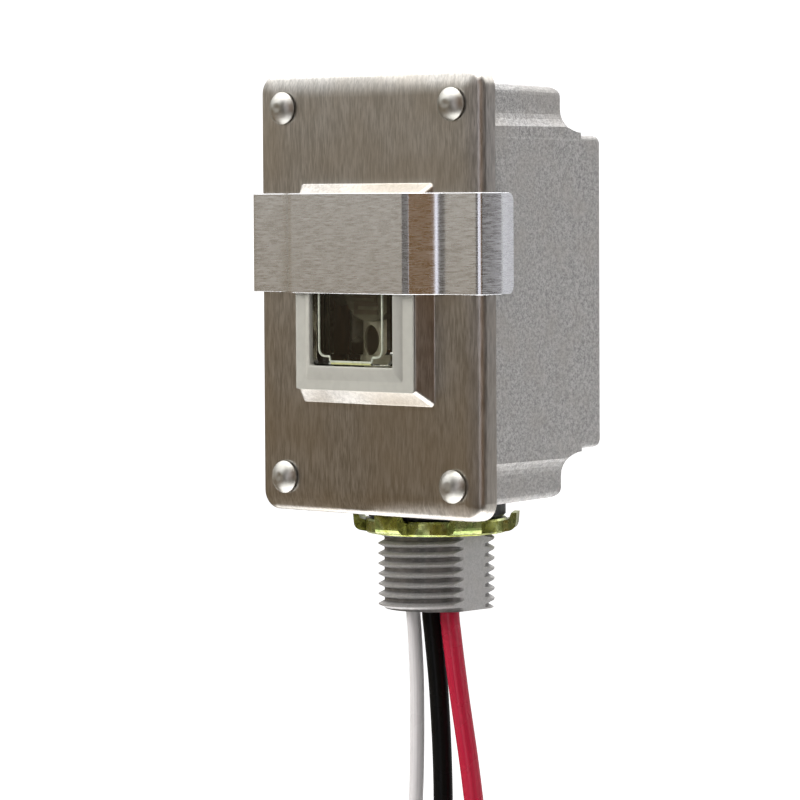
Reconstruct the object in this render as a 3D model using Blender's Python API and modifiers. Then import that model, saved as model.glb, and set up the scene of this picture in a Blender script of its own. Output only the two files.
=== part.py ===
"""Photocell switch for outdoor lighting, as a Blender 4.5 model in metres, +Z up.

The eye looks towards -Y. A hollow die-cast housing with a threaded conduit nipple is closed by a
drawn steel cover. The cover holds the window of the eye, and a sheet slide in front of it sets the
light level. The pieces are laid out from the middle of the cover's front face. An empty carries them
all, and puts the world's origin on the nipple's axis at its shoulder, where the switch is held.
"""

import math

import bmesh
import bpy
from mathutils import Vector

MM = 0.001
GAP = 0.3 * MM

# Cover plate
COVER_WIDTH = 52.6 * MM
COVER_HEIGHT = 78.0 * MM
COVER_SHEET = 0.8 * MM
COVER_SKIRT = 4.2 * MM
COVER_BEND = 1.4 * MM
COVER_CORNER = 3.4 * MM

# Raised seat of the window, drawn up in the cover
SEAT_WIDTH = 31.6 * MM
SEAT_HEIGHT = 38.6 * MM
SEAT_RISE = 3.0 * MM
SEAT_SLOPE_SIDE = 1.8 * MM
SEAT_SLOPE_END = 2.4 * MM
SEAT_CORNER = 1.1 * MM
SEAT_LIP = 1.9 * MM

# White window frame, which rises to a ridge round the clear window
FRAME_THICK = 0.65 * MM
FRAME_RIDGE = 0.45 * MM
FRAME_FLAT_SIDE = 2.5 * MM
FRAME_FLAT_END = 1.8 * MM
FRAME_BEVEL_SIDE = 1.7 * MM
FRAME_BEVEL_END = 2.5 * MM
WINDOW_SET_BACK = 0.3 * MM
WINDOW_SIDE_WALL = 1.8 * MM
WINDOW_FRONT_WALL = 1.2 * MM
WINDOW_FLANGE_THICK = 1.0 * MM
WINDOW_FLANGE_INSET = 0.8 * MM

# Light level slide
SLIDE_SHEET = 0.7 * MM
SLIDE_HEIGHT = 17.5 * MM
SLIDE_BOTTOM = 0.2 * MM
SLIDE_FLAT_WIDTH = 27.4 * MM
SLIDE_SLOPE_RUN = 4.8 * MM
SLIDE_WINDOW_GAP = 0.3 * MM
SLIDE_HOOK_LENGTH = 3.2 * MM
SLIDE_BEND = 0.9 * MM
SLIDE_WRAP_BEND = 2.2 * MM

# Rivets
RIVET_HEAD = 6.0 * MM
RIVET_HEAD_RISE = 1.6 * MM
RIVET_SHANK = 3.0 * MM
RIVET_LENGTH = 7.0 * MM

# Gasket under the cover
GASKET_THICK = 1.0 * MM
GASKET_LAND = 5.5 * MM

# Housing casting, which the cover overhangs all round; its ends stand in a step from the deep body
COVER_OVERHANG_SIDE = 1.3 * MM
COVER_OVERHANG_END = 2.3 * MM
END_STEP = 8.5 * MM
BODY_WIDTH = COVER_WIDTH - 2 * COVER_OVERHANG_SIDE
END_HEIGHT = COVER_HEIGHT - 2 * COVER_OVERHANG_END
BODY_HEIGHT = END_HEIGHT - 2 * END_STEP
BODY_DEPTH = 33.9 * MM
END_INSET = 1.5 * MM
END_DEPTH = 24.2 * MM
WALL = 2.4 * MM
DRAFT = math.radians(1.6)
BODY_ROUND = 2.0 * MM
END_ROUND = 1.6 * MM
COVE = 4.1 * MM
PARTING_STEP = 0.04 * MM
BOSS_RADIUS = 3.6 * MM
RIVET_ACROSS = BODY_WIDTH - 2 * 5.0 * MM
RIVET_UPRIGHT = END_HEIGHT - 2 * 3.75 * MM
POST_RADIUS = 2.6 * MM

# Conduit nipple, a straight half inch pipe thread of 14 turns an inch
THREAD_MAJOR = 20.9 * MM
THREAD_PITCH = 25.4 / 14 * MM
THREAD_DEPTH = 1.1 * MM
NIPPLE_LENGTH = 19.9 * MM
NIPPLE_BORE = THREAD_MAJOR - 5.3 * MM
NIPPLE_FLATS = THREAD_MAJOR - 3.1 * MM
THREAD_START = 1.4 * MM
THREAD_PHASE = math.radians(136)

# Locknut and sealing washer
NUT_BODY = THREAD_MAJOR + 4.7 * MM
NUT_OVER_LUGS = NUT_BODY + 4.0 * MM
NUT_THICK = 2.6 * MM
NUT_LUGS = 6
NUT_LUG_WIDTH = 6.6 * MM
NUT_LUG_RISE = 1.0 * MM
NUT_TURN = math.radians(34)
WASHER_OUTER = THREAD_MAJOR + 4.1 * MM
WASHER_THICK = 3.0 * MM
NIPPLE_BACK = COVER_SKIRT + 1.4 * MM + WASHER_OUTER / 2

# Leads
WHITE_LEAD = 2.6 * MM
POWER_LEAD = 3.5 * MM
STRIPPED = 12.0 * MM
CORE_SHARE = 0.5
PLUG_LENGTH = 6.0 * MM

# Works inside
BOARD_WIDTH = BODY_WIDTH - 2 * 4.0 * MM
BOARD_HEIGHT = BODY_HEIGHT - 2 * 5.2 * MM
BOARD_THICK = 1.6 * MM
BOARD_BACK = 16.0 * MM
BOARD_SCREW = 2.6 * MM
POST_ACROSS = BOARD_WIDTH - 2 * 4.0 * MM
CELL_ACROSS = 12.0 * MM
CELL_THICK = 2.2 * MM
CELL_FRONT = 0.9 * MM
CELL_RAISE = 1.2 * MM
CELL_LEG = 0.8 * MM
CELL_LEGS_ACROSS = 4.0 * MM
SHIELD_ACROSS = -1.5 * MM
SHIELD_RADIUS = 5.2 * MM
SHIELD_HEIGHT = 26.0 * MM
SHIELD_SHEET = 0.5 * MM
SHIELD_FRONT = 3.6 * MM
OVAL_WIDTH = 3.8 * MM
OVAL_HEIGHT = 5.4 * MM
OVAL_ACROSS = SHIELD_ACROSS - 0.6 * MM
OVAL_RAISE = -8.2 * MM

HOUSING_FRONT = COVER_SHEET + GAP + GASKET_THICK + GAP
BODY_BACK = HOUSING_FRONT + BODY_DEPTH
END_BACK = HOUSING_FRONT + END_DEPTH
UNDERSIDE = -END_HEIGHT / 2
NIPPLE_END = UNDERSIDE - NIPPLE_LENGTH
LEAD_TOP = UNDERSIDE + 6.7 * MM
TAB_TOP = LEAD_TOP + 13 * MM
SEAT_TOP = -SEAT_RISE
FRAME_BACK = SEAT_TOP - GAP
FRAME_FRONT = FRAME_BACK - FRAME_THICK
FRAME_TOP = FRAME_FRONT - FRAME_RIDGE
SLIDE_INSIDE = FRAME_TOP - SLIDE_WINDOW_GAP
RIVETS = [(x * RIVET_ACROSS / 2, z * RIVET_UPRIGHT / 2) for z in (1, -1) for x in (-1, 1)]

FINISHES = {
    "brushed_steel": ((0.36, 0.34, 0.31), 0.32, 1.0),
    "slide_steel": ((0.47, 0.46, 0.44), 0.34, 1.0),
    "cast_metal": ((0.33, 0.32, 0.31), 0.55, 0.9),
    "bright_aluminium": ((0.62, 0.61, 0.59), 0.25, 1.0),
    "yellow_zinc": ((0.46, 0.47, 0.16), 0.3, 1.0),
    "black_rubber": ((0.02, 0.02, 0.02), 0.7, 0.0),
    "white_plastic": ((0.72, 0.73, 0.69), 0.4, 0.0),
    "clear_plastic": ((0.75, 0.8, 0.7), 0.08, 0.0),
    "white_insulation": ((0.75, 0.72, 0.72), 0.4, 0.0),
    "black_insulation": ((0.02, 0.02, 0.022), 0.35, 0.0),
    "red_insulation": ((0.55, 0.02, 0.05), 0.35, 0.0),
    "bare_copper": ((0.7, 0.36, 0.2), 0.3, 1.0),
    "brown_board": ((0.19, 0.09, 0.045), 0.6, 0.0),
    "cell_face": ((0.35, 0.2, 0.13), 0.5, 0.0),
    "tinned_steel": ((0.6, 0.6, 0.58), 0.25, 1.0),
    "ceramic": ((0.7, 0.66, 0.58), 0.5, 0.0),
}


def clear_scene():
    for obj in list(bpy.data.objects):
        bpy.data.objects.remove(obj, do_unlink=True)


def finish_material(name):
    material = bpy.data.materials.get(name)
    if material:
        return material
    colour, roughness, metallic = FINISHES[name]
    material = bpy.data.materials.new(name)
    material.use_nodes = True
    shader = material.node_tree.nodes["Principled BSDF"]
    shader.inputs["Base Color"].default_value = (*colour, 1.0)
    shader.inputs["Roughness"].default_value = roughness
    shader.inputs["Metallic"].default_value = metallic
    return material


def new_collection(name):
    collection = bpy.data.collections.new(name)
    bpy.context.scene.collection.children.link(collection)
    return collection


def add_object(name, mesh, finish):
    obj = bpy.data.objects.new(name, mesh)
    obj.data.materials.append(finish_material(finish))
    PARTS.objects.link(obj)
    return obj


def mesh_from(name, bm):
    """A mesh whose faces all point out, when it is closed."""
    bm.normal_update()
    bmesh.ops.recalc_face_normals(bm, faces=bm.faces)
    if bm.calc_volume(signed=True) < 0:
        bmesh.ops.reverse_faces(bm, faces=bm.faces)
    mesh = bpy.data.meshes.new(name)
    bm.to_mesh(mesh)
    bm.free()
    return mesh


def cutter(name, mesh):
    obj = bpy.data.objects.new(name, mesh)
    CUTTERS.objects.link(obj)
    obj.hide_render = True
    obj.display_type = "WIRE"
    return obj


def boolean(obj, operation, other):
    modifier = obj.modifiers.new(operation.lower(), "BOOLEAN")
    modifier.operation = operation
    modifier.solver = "EXACT"
    modifier.object = other


def smooth(obj, degrees=35):
    obj.data.shade_smooth()
    obj.data.set_sharp_from_angle(angle=math.radians(degrees))


def box_mesh(name, low, high):
    bm = bmesh.new()
    bmesh.ops.create_cube(bm, size=1.0)
    for vert in bm.verts:
        vert.co = [a + (c + 0.5) * (b - a) for a, b, c in zip(low, high, vert.co)]
    return mesh_from(name, bm)


def rod_mesh(name, centre, radius, start, end, axis, segments=32):
    """A cylinder about an axis letter through centre, from start to end along it."""
    bm = bmesh.new()
    bmesh.ops.create_cone(
        bm, cap_ends=True, segments=segments, radius1=radius, radius2=radius, depth=end - start
    )
    index = "XYZ".index(axis)
    order = {0: (2, 0, 1), 1: (0, 2, 1), 2: (0, 1, 2)}[index]
    for vert in bm.verts:
        turned = [vert.co[i] for i in order]
        vert.co = turned
        vert.co[index] += (start + end) / 2
        for i in range(3):
            if i != index:
                vert.co[i] += centre[i]
    return mesh_from(name, bm)


def arc(centre, radius, first, last, steps):
    """Points of an arc in a plane, with its angles in degrees."""
    angles = [math.radians(first + (last - first) * i / steps) for i in range(steps + 1)]
    return [(centre[0] + radius * math.cos(a), centre[1] + radius * math.sin(a)) for a in angles]


def rounded_rectangle(half_width, half_height, radius, steps=5):
    points = []
    for quarter, (sx, sz) in enumerate(((1, 1), (-1, 1), (-1, -1), (1, -1))):
        centre = (sx * (half_width - radius), sz * (half_height - radius))
        points += arc(centre, radius, quarter * 90, quarter * 90 + 90, steps)
    return points


def rounded_path(corners, radii, steps=4):
    """An open path of points with each inner corner rounded by its own radius."""
    points = [Vector(corners[0])]
    for before, corner, after, radius in zip(corners, corners[1:], corners[2:], radii):
        corner = Vector(corner)
        towards = (Vector(before) - corner).normalized()
        onwards = (Vector(after) - corner).normalized()
        half = towards.angle(onwards) / 2
        centre = corner + (towards + onwards).normalized() * radius / math.sin(half)
        first = corner + towards * radius / math.tan(half) - centre
        last = corner + onwards * radius / math.tan(half) - centre
        turn = first.angle_signed(last)
        for i in range(steps + 1):
            angle = -turn * i / steps
            cos, sin = math.cos(angle), math.sin(angle)
            points.append(centre + Vector((first.x * cos - first.y * sin, first.x * sin + first.y * cos)))
    points.append(Vector(corners[-1]))
    return [(p.x, p.y) for p in points]


def loft(bm, rings, close_first=False, close_last=False):
    """Skins rings with the same number of points; each ring is a list of (x, y, z)."""
    rows = [[bm.verts.new(point) for point in ring] for ring in rings]
    for row, after in zip(rows, rows[1:]):
        for i, vert in enumerate(row):
            j = (i + 1) % len(row)
            bm.faces.new((vert, row[j], after[j], after[i]))
    if close_first:
        bm.faces.new(rows[0])
    if close_last:
        bm.faces.new(rows[-1])
    return rows


def lathe(name, profile, finish, centre=(0, 0), segments=40):
    """Turns a closed profile of (radius, z) points about an upright axis."""
    bm = bmesh.new()
    verts = [bm.verts.new((radius, 0, z)) for radius, z in profile]
    for a, b in zip(verts, verts[1:] + verts[:1]):
        bm.edges.new((a, b))
    mesh = bpy.data.meshes.new(name)
    bm.to_mesh(mesh)
    bm.free()
    obj = add_object(name, mesh, finish)
    obj.location = (centre[0], centre[1], 0)
    turn = obj.modifiers.new("turn", "SCREW")
    turn.steps = segments
    turn.render_steps = segments
    turn.use_merge_vertices = True
    turn.merge_threshold = 0.00001
    turn.use_normal_calculate = True
    return obj


def applied(obj):
    """The object's evaluated mesh in world space, as a mesh of its own."""
    bpy.context.view_layer.update()
    graph = bpy.context.evaluated_depsgraph_get()
    mesh = bpy.data.meshes.new_from_object(obj.evaluated_get(graph))
    mesh.transform(obj.matrix_world)
    bm = bmesh.new()
    bm.from_mesh(mesh)
    bmesh.ops.remove_doubles(bm, verts=bm.verts, dist=0.000001)
    bmesh.ops.recalc_face_normals(bm, faces=bm.faces)
    bm.to_mesh(mesh)
    bm.free()
    return mesh


def bake(obj):
    """Replaces the object's mesh by its evaluated one and drops its modifiers."""
    mesh = applied(obj)
    obj.modifiers.clear()
    obj.matrix_world.identity()
    obj.location = (0, 0, 0)
    obj.data = mesh
    return obj


def make_cover():
    """One drawn sheet: skirt, rounded edge, flat plate, raised seat and window opening."""
    half_width, half_height = COVER_WIDTH / 2, COVER_HEIGHT / 2
    bend = rounded_path([(0, COVER_SKIRT), (0, 0), (3 * COVER_BEND, 0)], [COVER_BEND], 6)
    rings = []
    for inset, y in bend:
        corner = max(COVER_CORNER - inset, SEAT_CORNER)
        ring = rounded_rectangle(half_width - inset, half_height - inset, corner)
        rings.append([(x, y, z) for x, z in ring])
    side = rounded_path(
        [(-1.2 * MM, 0), (0, 0), (SEAT_SLOPE_SIDE, SEAT_TOP), (SEAT_SLOPE_SIDE + SEAT_LIP, SEAT_TOP)],
        [0.5 * MM, 0.5 * MM], 3,
    )
    end = rounded_path(
        [(-1.2 * MM, 0), (0, 0), (SEAT_SLOPE_END, SEAT_TOP), (SEAT_SLOPE_END + SEAT_LIP, SEAT_TOP)],
        [0.5 * MM, 0.5 * MM], 3,
    )
    for (across, y), (up, _) in zip(side, end):
        corner = max(SEAT_CORNER - across * 0.3, 0.75 * MM)
        ring = rounded_rectangle(SEAT_WIDTH / 2 - across, SEAT_HEIGHT / 2 - up, corner)
        rings.append([(x, y, z) for x, z in ring])
    bm = bmesh.new()
    loft(bm, rings)
    cover = add_object("cover", mesh_from("cover", bm), "brushed_steel")
    face_forward(cover)
    sheet = cover.modifiers.new("sheet", "SOLIDIFY")
    sheet.thickness = COVER_SHEET
    sheet.offset = -1
    sheet.use_even_offset = True
    for number, (x, z) in enumerate(RIVETS):
        hole = rod_mesh("rivet_hole", (x, 0, z), RIVET_SHANK / 2 + GAP, -2 * MM, 3 * MM, "Y", 20)
        boolean(cover, "DIFFERENCE", cutter(f"cover_rivet_hole_{number}", hole))
    smooth(cover)
    return cover


def face_forward(obj):
    """Turns an open sheet so that its faces look out, towards the front."""
    mesh = obj.data
    total = sum(face.normal.y * face.area for face in mesh.polygons)
    if total > 0:
        mesh.flip_normals()


def make_gasket():
    half_width = COVER_WIDTH / 2 - COVER_SHEET - GAP
    half_height = COVER_HEIGHT / 2 - COVER_SHEET - GAP
    front = COVER_SHEET + GAP
    corner = COVER_CORNER - COVER_SHEET - GAP
    rings = []
    inner_corner = corner / 2
    for y in (front, front + GASKET_THICK):
        outline = rounded_rectangle(half_width, half_height, corner)
        rings.append([(x, y, z) for x, z in outline])
    for y in (front + GASKET_THICK, front):
        outline = rounded_rectangle(half_width - GASKET_LAND, half_height - GASKET_LAND, inner_corner)
        rings.append([(x, y, z) for x, z in outline])
    bm = bmesh.new()
    loft(bm, rings + rings[:1])
    bmesh.ops.remove_doubles(bm, verts=bm.verts, dist=0.000001)
    gasket = add_object("cover_gasket", mesh_from("cover_gasket", bm), "black_rubber")
    for number, (x, z) in enumerate(RIVETS):
        ear = rod_mesh("ear", (x, 0, z), BOSS_RADIUS, front, front + GASKET_THICK, "Y", 24)
        boolean(gasket, "UNION", cutter(f"gasket_ear_{number}", ear))
    for number, (x, z) in enumerate(RIVETS):
        hole = rod_mesh("hole", (x, 0, z), RIVET_SHANK / 2 + GAP, 0, 4 * MM, "Y", 20)
        boolean(gasket, "DIFFERENCE", cutter(f"gasket_hole_{number}", hole))
    return gasket


def window_opening():
    """Half sizes of the clear opening of the white frame."""
    half_width = SEAT_WIDTH / 2 - SEAT_SLOPE_SIDE - FRAME_FLAT_SIDE - FRAME_BEVEL_SIDE
    half_height = SEAT_HEIGHT / 2 - SEAT_SLOPE_END - FRAME_FLAT_END - FRAME_BEVEL_END
    return half_width, half_height


def make_window_frame():
    """A moulded ring that lies on the raised seat: a flat rim that slopes up to a ridge."""
    outer_x = SEAT_WIDTH / 2 - SEAT_SLOPE_SIDE
    outer_z = SEAT_HEIGHT / 2 - SEAT_SLOPE_END
    open_x, open_z = window_opening()
    soft = 0.15 * MM
    steps = [
        (outer_x, outer_z, 0.5 * MM, FRAME_BACK),
        (outer_x, outer_z, 0.5 * MM, FRAME_FRONT + soft),
        (outer_x - soft, outer_z - soft, 0.4 * MM, FRAME_FRONT),
        (outer_x - FRAME_FLAT_SIDE, outer_z - FRAME_FLAT_END, 0.4 * MM, FRAME_FRONT),
        (open_x + soft, open_z + soft, 0.4 * MM, FRAME_TOP),
        (open_x, open_z, 0.4 * MM, FRAME_TOP + soft),
        (open_x, open_z, 0.4 * MM, FRAME_BACK),
    ]
    rings = []
    for half_x, half_z, corner, y in steps:
        rings.append([(x, y, z) for x, z in rounded_rectangle(half_x, half_z, corner, 3)])
    bm = bmesh.new()
    loft(bm, rings + rings[:1])
    bmesh.ops.remove_doubles(bm, verts=bm.verts, dist=0.000001)
    frame = add_object("window_frame", mesh_from("window_frame", bm), "white_plastic")
    smooth(frame)
    return frame


def make_window_lens():
    """A clear moulded hat that stands in the frame, its brim behind the cover's lip."""
    open_x, open_z = window_opening()
    hat_x = open_x - GAP
    hat_z = open_z - GAP
    brim_x = SEAT_WIDTH / 2 - SEAT_SLOPE_SIDE - WINDOW_FLANGE_INSET
    brim_z = SEAT_HEIGHT / 2 - SEAT_SLOPE_END - WINDOW_FLANGE_INSET
    front = FRAME_TOP + WINDOW_SET_BACK
    brim = SEAT_TOP + COVER_SHEET + GAP
    soft = 0.3 * MM
    steps = [
        (hat_x - soft, hat_z - soft, 1.0 * MM, front),
        (hat_x, hat_z, 1.2 * MM, front + soft),
        (hat_x, hat_z, 1.2 * MM, brim),
        (brim_x, brim_z, 1.5 * MM, brim),
        (brim_x, brim_z, 1.5 * MM, brim + WINDOW_FLANGE_THICK),
        (hat_x - WINDOW_SIDE_WALL, hat_z - WINDOW_SIDE_WALL, 1.0 * MM, brim + WINDOW_FLANGE_THICK),
        (hat_x - WINDOW_SIDE_WALL, hat_z - WINDOW_SIDE_WALL, 1.0 * MM, front + WINDOW_FRONT_WALL),
    ]
    rings = []
    for half_x, half_z, corner, y in steps:
        rings.append([(x, y, z) for x, z in rounded_rectangle(half_x, half_z, corner, 4)])
    bm = bmesh.new()
    loft(bm, rings, True, True)
    lens = add_object("window_lens", mesh_from("window_lens", bm), "clear_plastic")
    smooth(lens)
    return lens


def slide_profile():
    """Half of the slide's outer outline from the middle to the hooked edge, as (x, y)."""
    outer_front = SLIDE_INSIDE - SLIDE_SHEET
    wing_front = -GAP - SLIDE_SHEET
    side = COVER_WIDTH / 2 + GAP + SLIDE_SHEET
    hook = BODY_WIDTH / 2 + GAP + SLIDE_SHEET
    flat = SLIDE_FLAT_WIDTH / 2
    corners = [
        (0, outer_front),
        (flat, outer_front),
        (flat + SLIDE_SLOPE_RUN, wing_front),
        (side, wing_front),
        (side, COVER_SKIRT + 0.6 * MM),
        (hook, COVER_SKIRT + 1.9 * MM),
        (hook, COVER_SKIRT + 1.9 * MM + SLIDE_HOOK_LENGTH),
    ]
    radii = [SLIDE_BEND, SLIDE_BEND, SLIDE_WRAP_BEND, SLIDE_BEND, SLIDE_BEND]
    return rounded_path(corners, radii, 5)


def make_slide():
    """One bent strip over the window that grips both edges of the cover."""
    half = slide_profile()
    path = [(-x, y) for x, y in reversed(half[1:])] + half
    bm = bmesh.new()
    rows = []
    for z in (SLIDE_BOTTOM, SLIDE_BOTTOM + SLIDE_HEIGHT):
        rows.append([bm.verts.new((x, y, z)) for x, y in path])
    low, high = rows
    for i in range(len(path) - 1):
        bm.faces.new((low[i], low[i + 1], high[i + 1], high[i]))
    slide = add_object("light_level_slide", mesh_from("light_level_slide", bm), "slide_steel")
    face_forward(slide)
    sheet = slide.modifiers.new("sheet", "SOLIDIFY")
    sheet.thickness = SLIDE_SHEET
    sheet.offset = -1
    sheet.use_even_offset = True
    bake(slide)
    round_hook_corners(slide)
    smooth(slide)
    return slide


def round_hook_corners(slide):
    """Rounds the four free corners of the hooked edges."""
    bm = bmesh.new()
    bm.from_mesh(slide.data)
    end = COVER_SKIRT + 1.9 * MM + SLIDE_HOOK_LENGTH
    tips = [edge for edge in bm.edges if all(vert.co.y > end - 0.01 * MM for vert in edge.verts)
            and abs(edge.verts[0].co.z - edge.verts[1].co.z) < 0.01 * MM]
    bmesh.ops.bevel(
        bm, geom=tips, offset=1.2 * MM, offset_type="OFFSET", segments=4, affect="EDGES", profile=0.5
    )
    bm.to_mesh(slide.data)
    bm.free()


def make_rivets():
    """Blind rivets with domed heads, one through each corner of the cover."""
    names = ("rivet_top_left", "rivet_top_right", "rivet_bottom_left", "rivet_bottom_right")
    head = RIVET_HEAD / 2
    radius = (head * head + RIVET_HEAD_RISE ** 2) / (2 * RIVET_HEAD_RISE)
    spread = math.degrees(math.asin(head / radius))
    dome = arc((0, radius - RIVET_HEAD_RISE), radius, -90, -90 + spread, 5)
    for name, (x, z) in zip(names, RIVETS):
        profile = [(r, y - GAP) for r, y in dome]
        profile += [(head, -GAP), (RIVET_SHANK / 2, -GAP), (RIVET_SHANK / 2, RIVET_LENGTH)]
        profile.append((0, RIVET_LENGTH))
        profile[-4] = (head - 0.05 * MM, -GAP)
        rings = [[(x + r * math.cos(a), y, z + r * math.sin(a)) for a in circle(24)]
                 for r, y in profile if r > 0]
        bm = bmesh.new()
        rows = loft(bm, rings, close_last=True)
        tip = bm.verts.new((x, profile[0][1], z))
        for i, vert in enumerate(rows[0]):
            bm.faces.new((vert, rows[0][(i + 1) % len(rows[0])], tip))
        rivet = add_object(name, mesh_from(name, bm), "bright_aluminium")
        smooth(rivet, 40)


def circle(steps):
    return [2 * math.pi * i / steps for i in range(steps)]


def body_rings(half_width, half_height, back, corner, edge):
    """Rings of a cast box with draft: open towards the front and rounded at the back."""
    slope = math.tan(DRAFT)
    rounding = arc((0, 0), edge, 0, 90, 5)
    rings = []
    for inset, y in [(0, HOUSING_FRONT)] + [(edge - c, back - edge + s) for c, s in rounding]:
        shrink = slope * (min(y, back) - HOUSING_FRONT) + inset
        outline = rounded_rectangle(half_width - shrink, half_height - shrink * 0.6 - inset * 0.4, corner, 5)
        rings.append([(x, y, z) for x, z in outline])
    return rings


def cast_box(name, half_width, half_height, back, corner, edge):
    bm = bmesh.new()
    loft(bm, body_rings(half_width, half_height, back, corner, edge), True, True)
    return mesh_from(name, bm)


def end_outline(grow):
    """Plan of an end of the casting, from the front round the back, grown by the cove."""
    half = BODY_WIDTH / 2 - END_INSET + grow
    back = END_BACK + grow
    corner = END_ROUND + max(grow, 0)
    corner = max(corner, 0.3 * MM)
    points = [(half, HOUSING_FRONT)]
    points += arc((half - corner, back - corner), corner, 0, 90, 6)
    points += arc((-half + corner, back - corner), corner, 90, 180, 6)
    points.append((-half, HOUSING_FRONT))
    return points


def end_mesh(name, side):
    """An end of the casting: it leaves the body in a cove and its outer edge is rounded."""
    ledge = BODY_HEIGHT / 2
    top = END_HEIGHT / 2
    levels = [(COVE, ledge - 3 * MM)]
    levels += [(COVE + c, ledge + COVE + s) for c, s in arc((0, 0), COVE, 270, 180, 7)]
    levels += [(-END_ROUND + c, top - END_ROUND + s) for c, s in arc((0, 0), END_ROUND, 0, 90, 5)]
    slope = math.tan(DRAFT)
    rings = []
    for grow, height in levels:
        ring = []
        for x, y in end_outline(grow):
            back = y - HOUSING_FRONT
            lean = slope * back * 0.8 if height > ledge + COVE else 0
            ring.append((x * (1 - slope * back / (BODY_WIDTH / 2)), y, side * (height - lean)))
        rings.append(ring)
    bm = bmesh.new()
    loft(bm, rings, True, True)
    return mesh_from(name, bm)


def make_housing():
    """The hollow casting with its coved ends, rivet bosses and conduit nipple."""
    half = BODY_WIDTH / 2
    body = cast_box("housing", half, BODY_HEIGHT / 2, BODY_BACK, 1.0 * MM, BODY_ROUND)
    housing = add_object("housing", body, "cast_metal")
    limit = cast_box("side_limit", half - PARTING_STEP, COVER_HEIGHT, BODY_BACK, 1.0 * MM, BODY_ROUND)
    limit_box = cutter("side_limit", limit)
    for side in (1, -1):
        end = cutter(f"end_{side}", end_mesh("end", side))
        boolean(end, "INTERSECT", limit_box)
        boolean(housing, "UNION", end)
    boss_top = -BODY_HEIGHT / 2 + 2 * MM
    boss = rod_mesh("nipple_boss", (0, NIPPLE_BACK, 0), THREAD_MAJOR / 2, UNDERSIDE - 0.5 * MM, boss_top, "Z", 48)
    boolean(housing, "UNION", cutter("nipple_boss", boss))
    boolean(housing, "UNION", nipple())
    for hollow in hollows():
        boolean(housing, "DIFFERENCE", hollow)
    for number, hole in enumerate(housing_holes()):
        boolean(housing, "DIFFERENCE", cutter(f"housing_hole_{number}", hole))
    smooth(housing, 30)
    return housing


def hollows():
    """The space inside: a deep middle with two posts for the board, and a pocket in each end."""
    half = BODY_WIDTH / 2 - WALL
    front = HOUSING_FRONT - 2 * MM
    middle = box_mesh(
        "hollow", (-half + 1 * MM, front, -BODY_HEIGHT / 2 + WALL),
        (half - 1 * MM, BODY_BACK - WALL, BODY_HEIGHT / 2 - WALL),
    )
    posts = []
    for side in (1, -1):
        centre = (side * POST_ACROSS / 2, 0, 0)
        posts.append(rod_mesh("post", centre, POST_RADIUS, BOARD_BACK + GAP, BODY_BACK + 1 * MM, "Y", 28))
    yield less("hollow", middle, posts)
    inner = half - END_INSET - 0.6 * MM
    for side in (1, -1):
        outer = side * (END_HEIGHT / 2 - WALL)
        start = side * (BODY_HEIGHT / 2 - WALL - 1 * MM)
        low, high = min(outer, start), max(outer, start)
        pocket = box_mesh("pocket", (-inner, front, low), (inner, END_BACK - WALL, high))
        bosses = [
            rod_mesh("rivet_boss", (x, 0, z), BOSS_RADIUS, front - 1 * MM, END_BACK, "Y", 32)
            for x, z in RIVETS if z * side > 0
        ]
        yield less(f"pocket_{side}", pocket, bosses)


def less(name, mesh, taken):
    """A cutter with other solids taken away from it."""
    obj = cutter(name, mesh)
    for number, other in enumerate(taken):
        boolean(obj, "DIFFERENCE", cutter(f"{name}_less_{number}", other))
    return obj


def housing_holes():
    deep = HOUSING_FRONT + RIVET_LENGTH + 1 * MM
    for x, z in RIVETS:
        yield rod_mesh("hole", (x, 0, z), RIVET_SHANK / 2 + GAP, HOUSING_FRONT - 2 * MM, deep, "Y", 20)
    for side in (1, -1):
        centre = (side * POST_ACROSS / 2, 0, 0)
        yield rod_mesh("post_hole", centre, BOARD_SCREW / 2 + GAP, BOARD_BACK - 1 * MM, BOARD_BACK + 7 * MM, "Y", 20)
    top = -END_HEIGHT / 2 + WALL + 2 * MM
    yield rod_mesh("bore", (0, NIPPLE_BACK, 0), NIPPLE_BORE / 2, NIPPLE_END - 2 * MM, top, "Z", 40)


def nipple():
    """A core with one helical ridge wound round it, then flattened on two sides."""
    core_radius = THREAD_MAJOR / 2 - THREAD_DEPTH
    core = rod_mesh("nipple_core", (0, NIPPLE_BACK, 0), core_radius, NIPPLE_END, UNDERSIDE + 2 * MM, "Z", 24)
    nipple_core = cutter("nipple_core", core)
    boolean(nipple_core, "UNION", thread_ridge(core_radius))
    flats = box_mesh(
        "flats", (-NIPPLE_FLATS / 2, NIPPLE_BACK - THREAD_MAJOR, NIPPLE_END),
        (NIPPLE_FLATS / 2, NIPPLE_BACK + THREAD_MAJOR, UNDERSIDE + 5 * MM),
    )
    boolean(nipple_core, "INTERSECT", cutter("nipple_flats", flats))
    return nipple_core


def thread_ridge(core_radius):
    """The ridge's section is turned and climbs by one pitch a turn."""
    crest = THREAD_PITCH * 0.07
    root = THREAD_PITCH * 0.48
    sunk = core_radius - 0.4 * MM
    outer = THREAD_MAJOR / 2
    section = [(sunk, -root), (outer, -crest), (outer, crest), (sunk, root)]
    turns = int((NIPPLE_LENGTH - THREAD_START) / THREAD_PITCH) + 2
    steps = 24
    start = NIPPLE_END - THREAD_PITCH * 0.6
    rings = []
    for i in range(turns * steps + 1):
        angle = 2 * math.pi * i / steps - THREAD_PHASE
        rise = start + THREAD_PITCH * i / steps
        if rise > UNDERSIDE - THREAD_START:
            break
        cos, sin = math.cos(angle), math.sin(angle)
        rings.append([(r * cos, NIPPLE_BACK + r * sin, rise + z) for r, z in section])
    bm = bmesh.new()
    loft(bm, rings, True, True)
    return cutter("thread_ridge", mesh_from("thread_ridge", bm))


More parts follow.
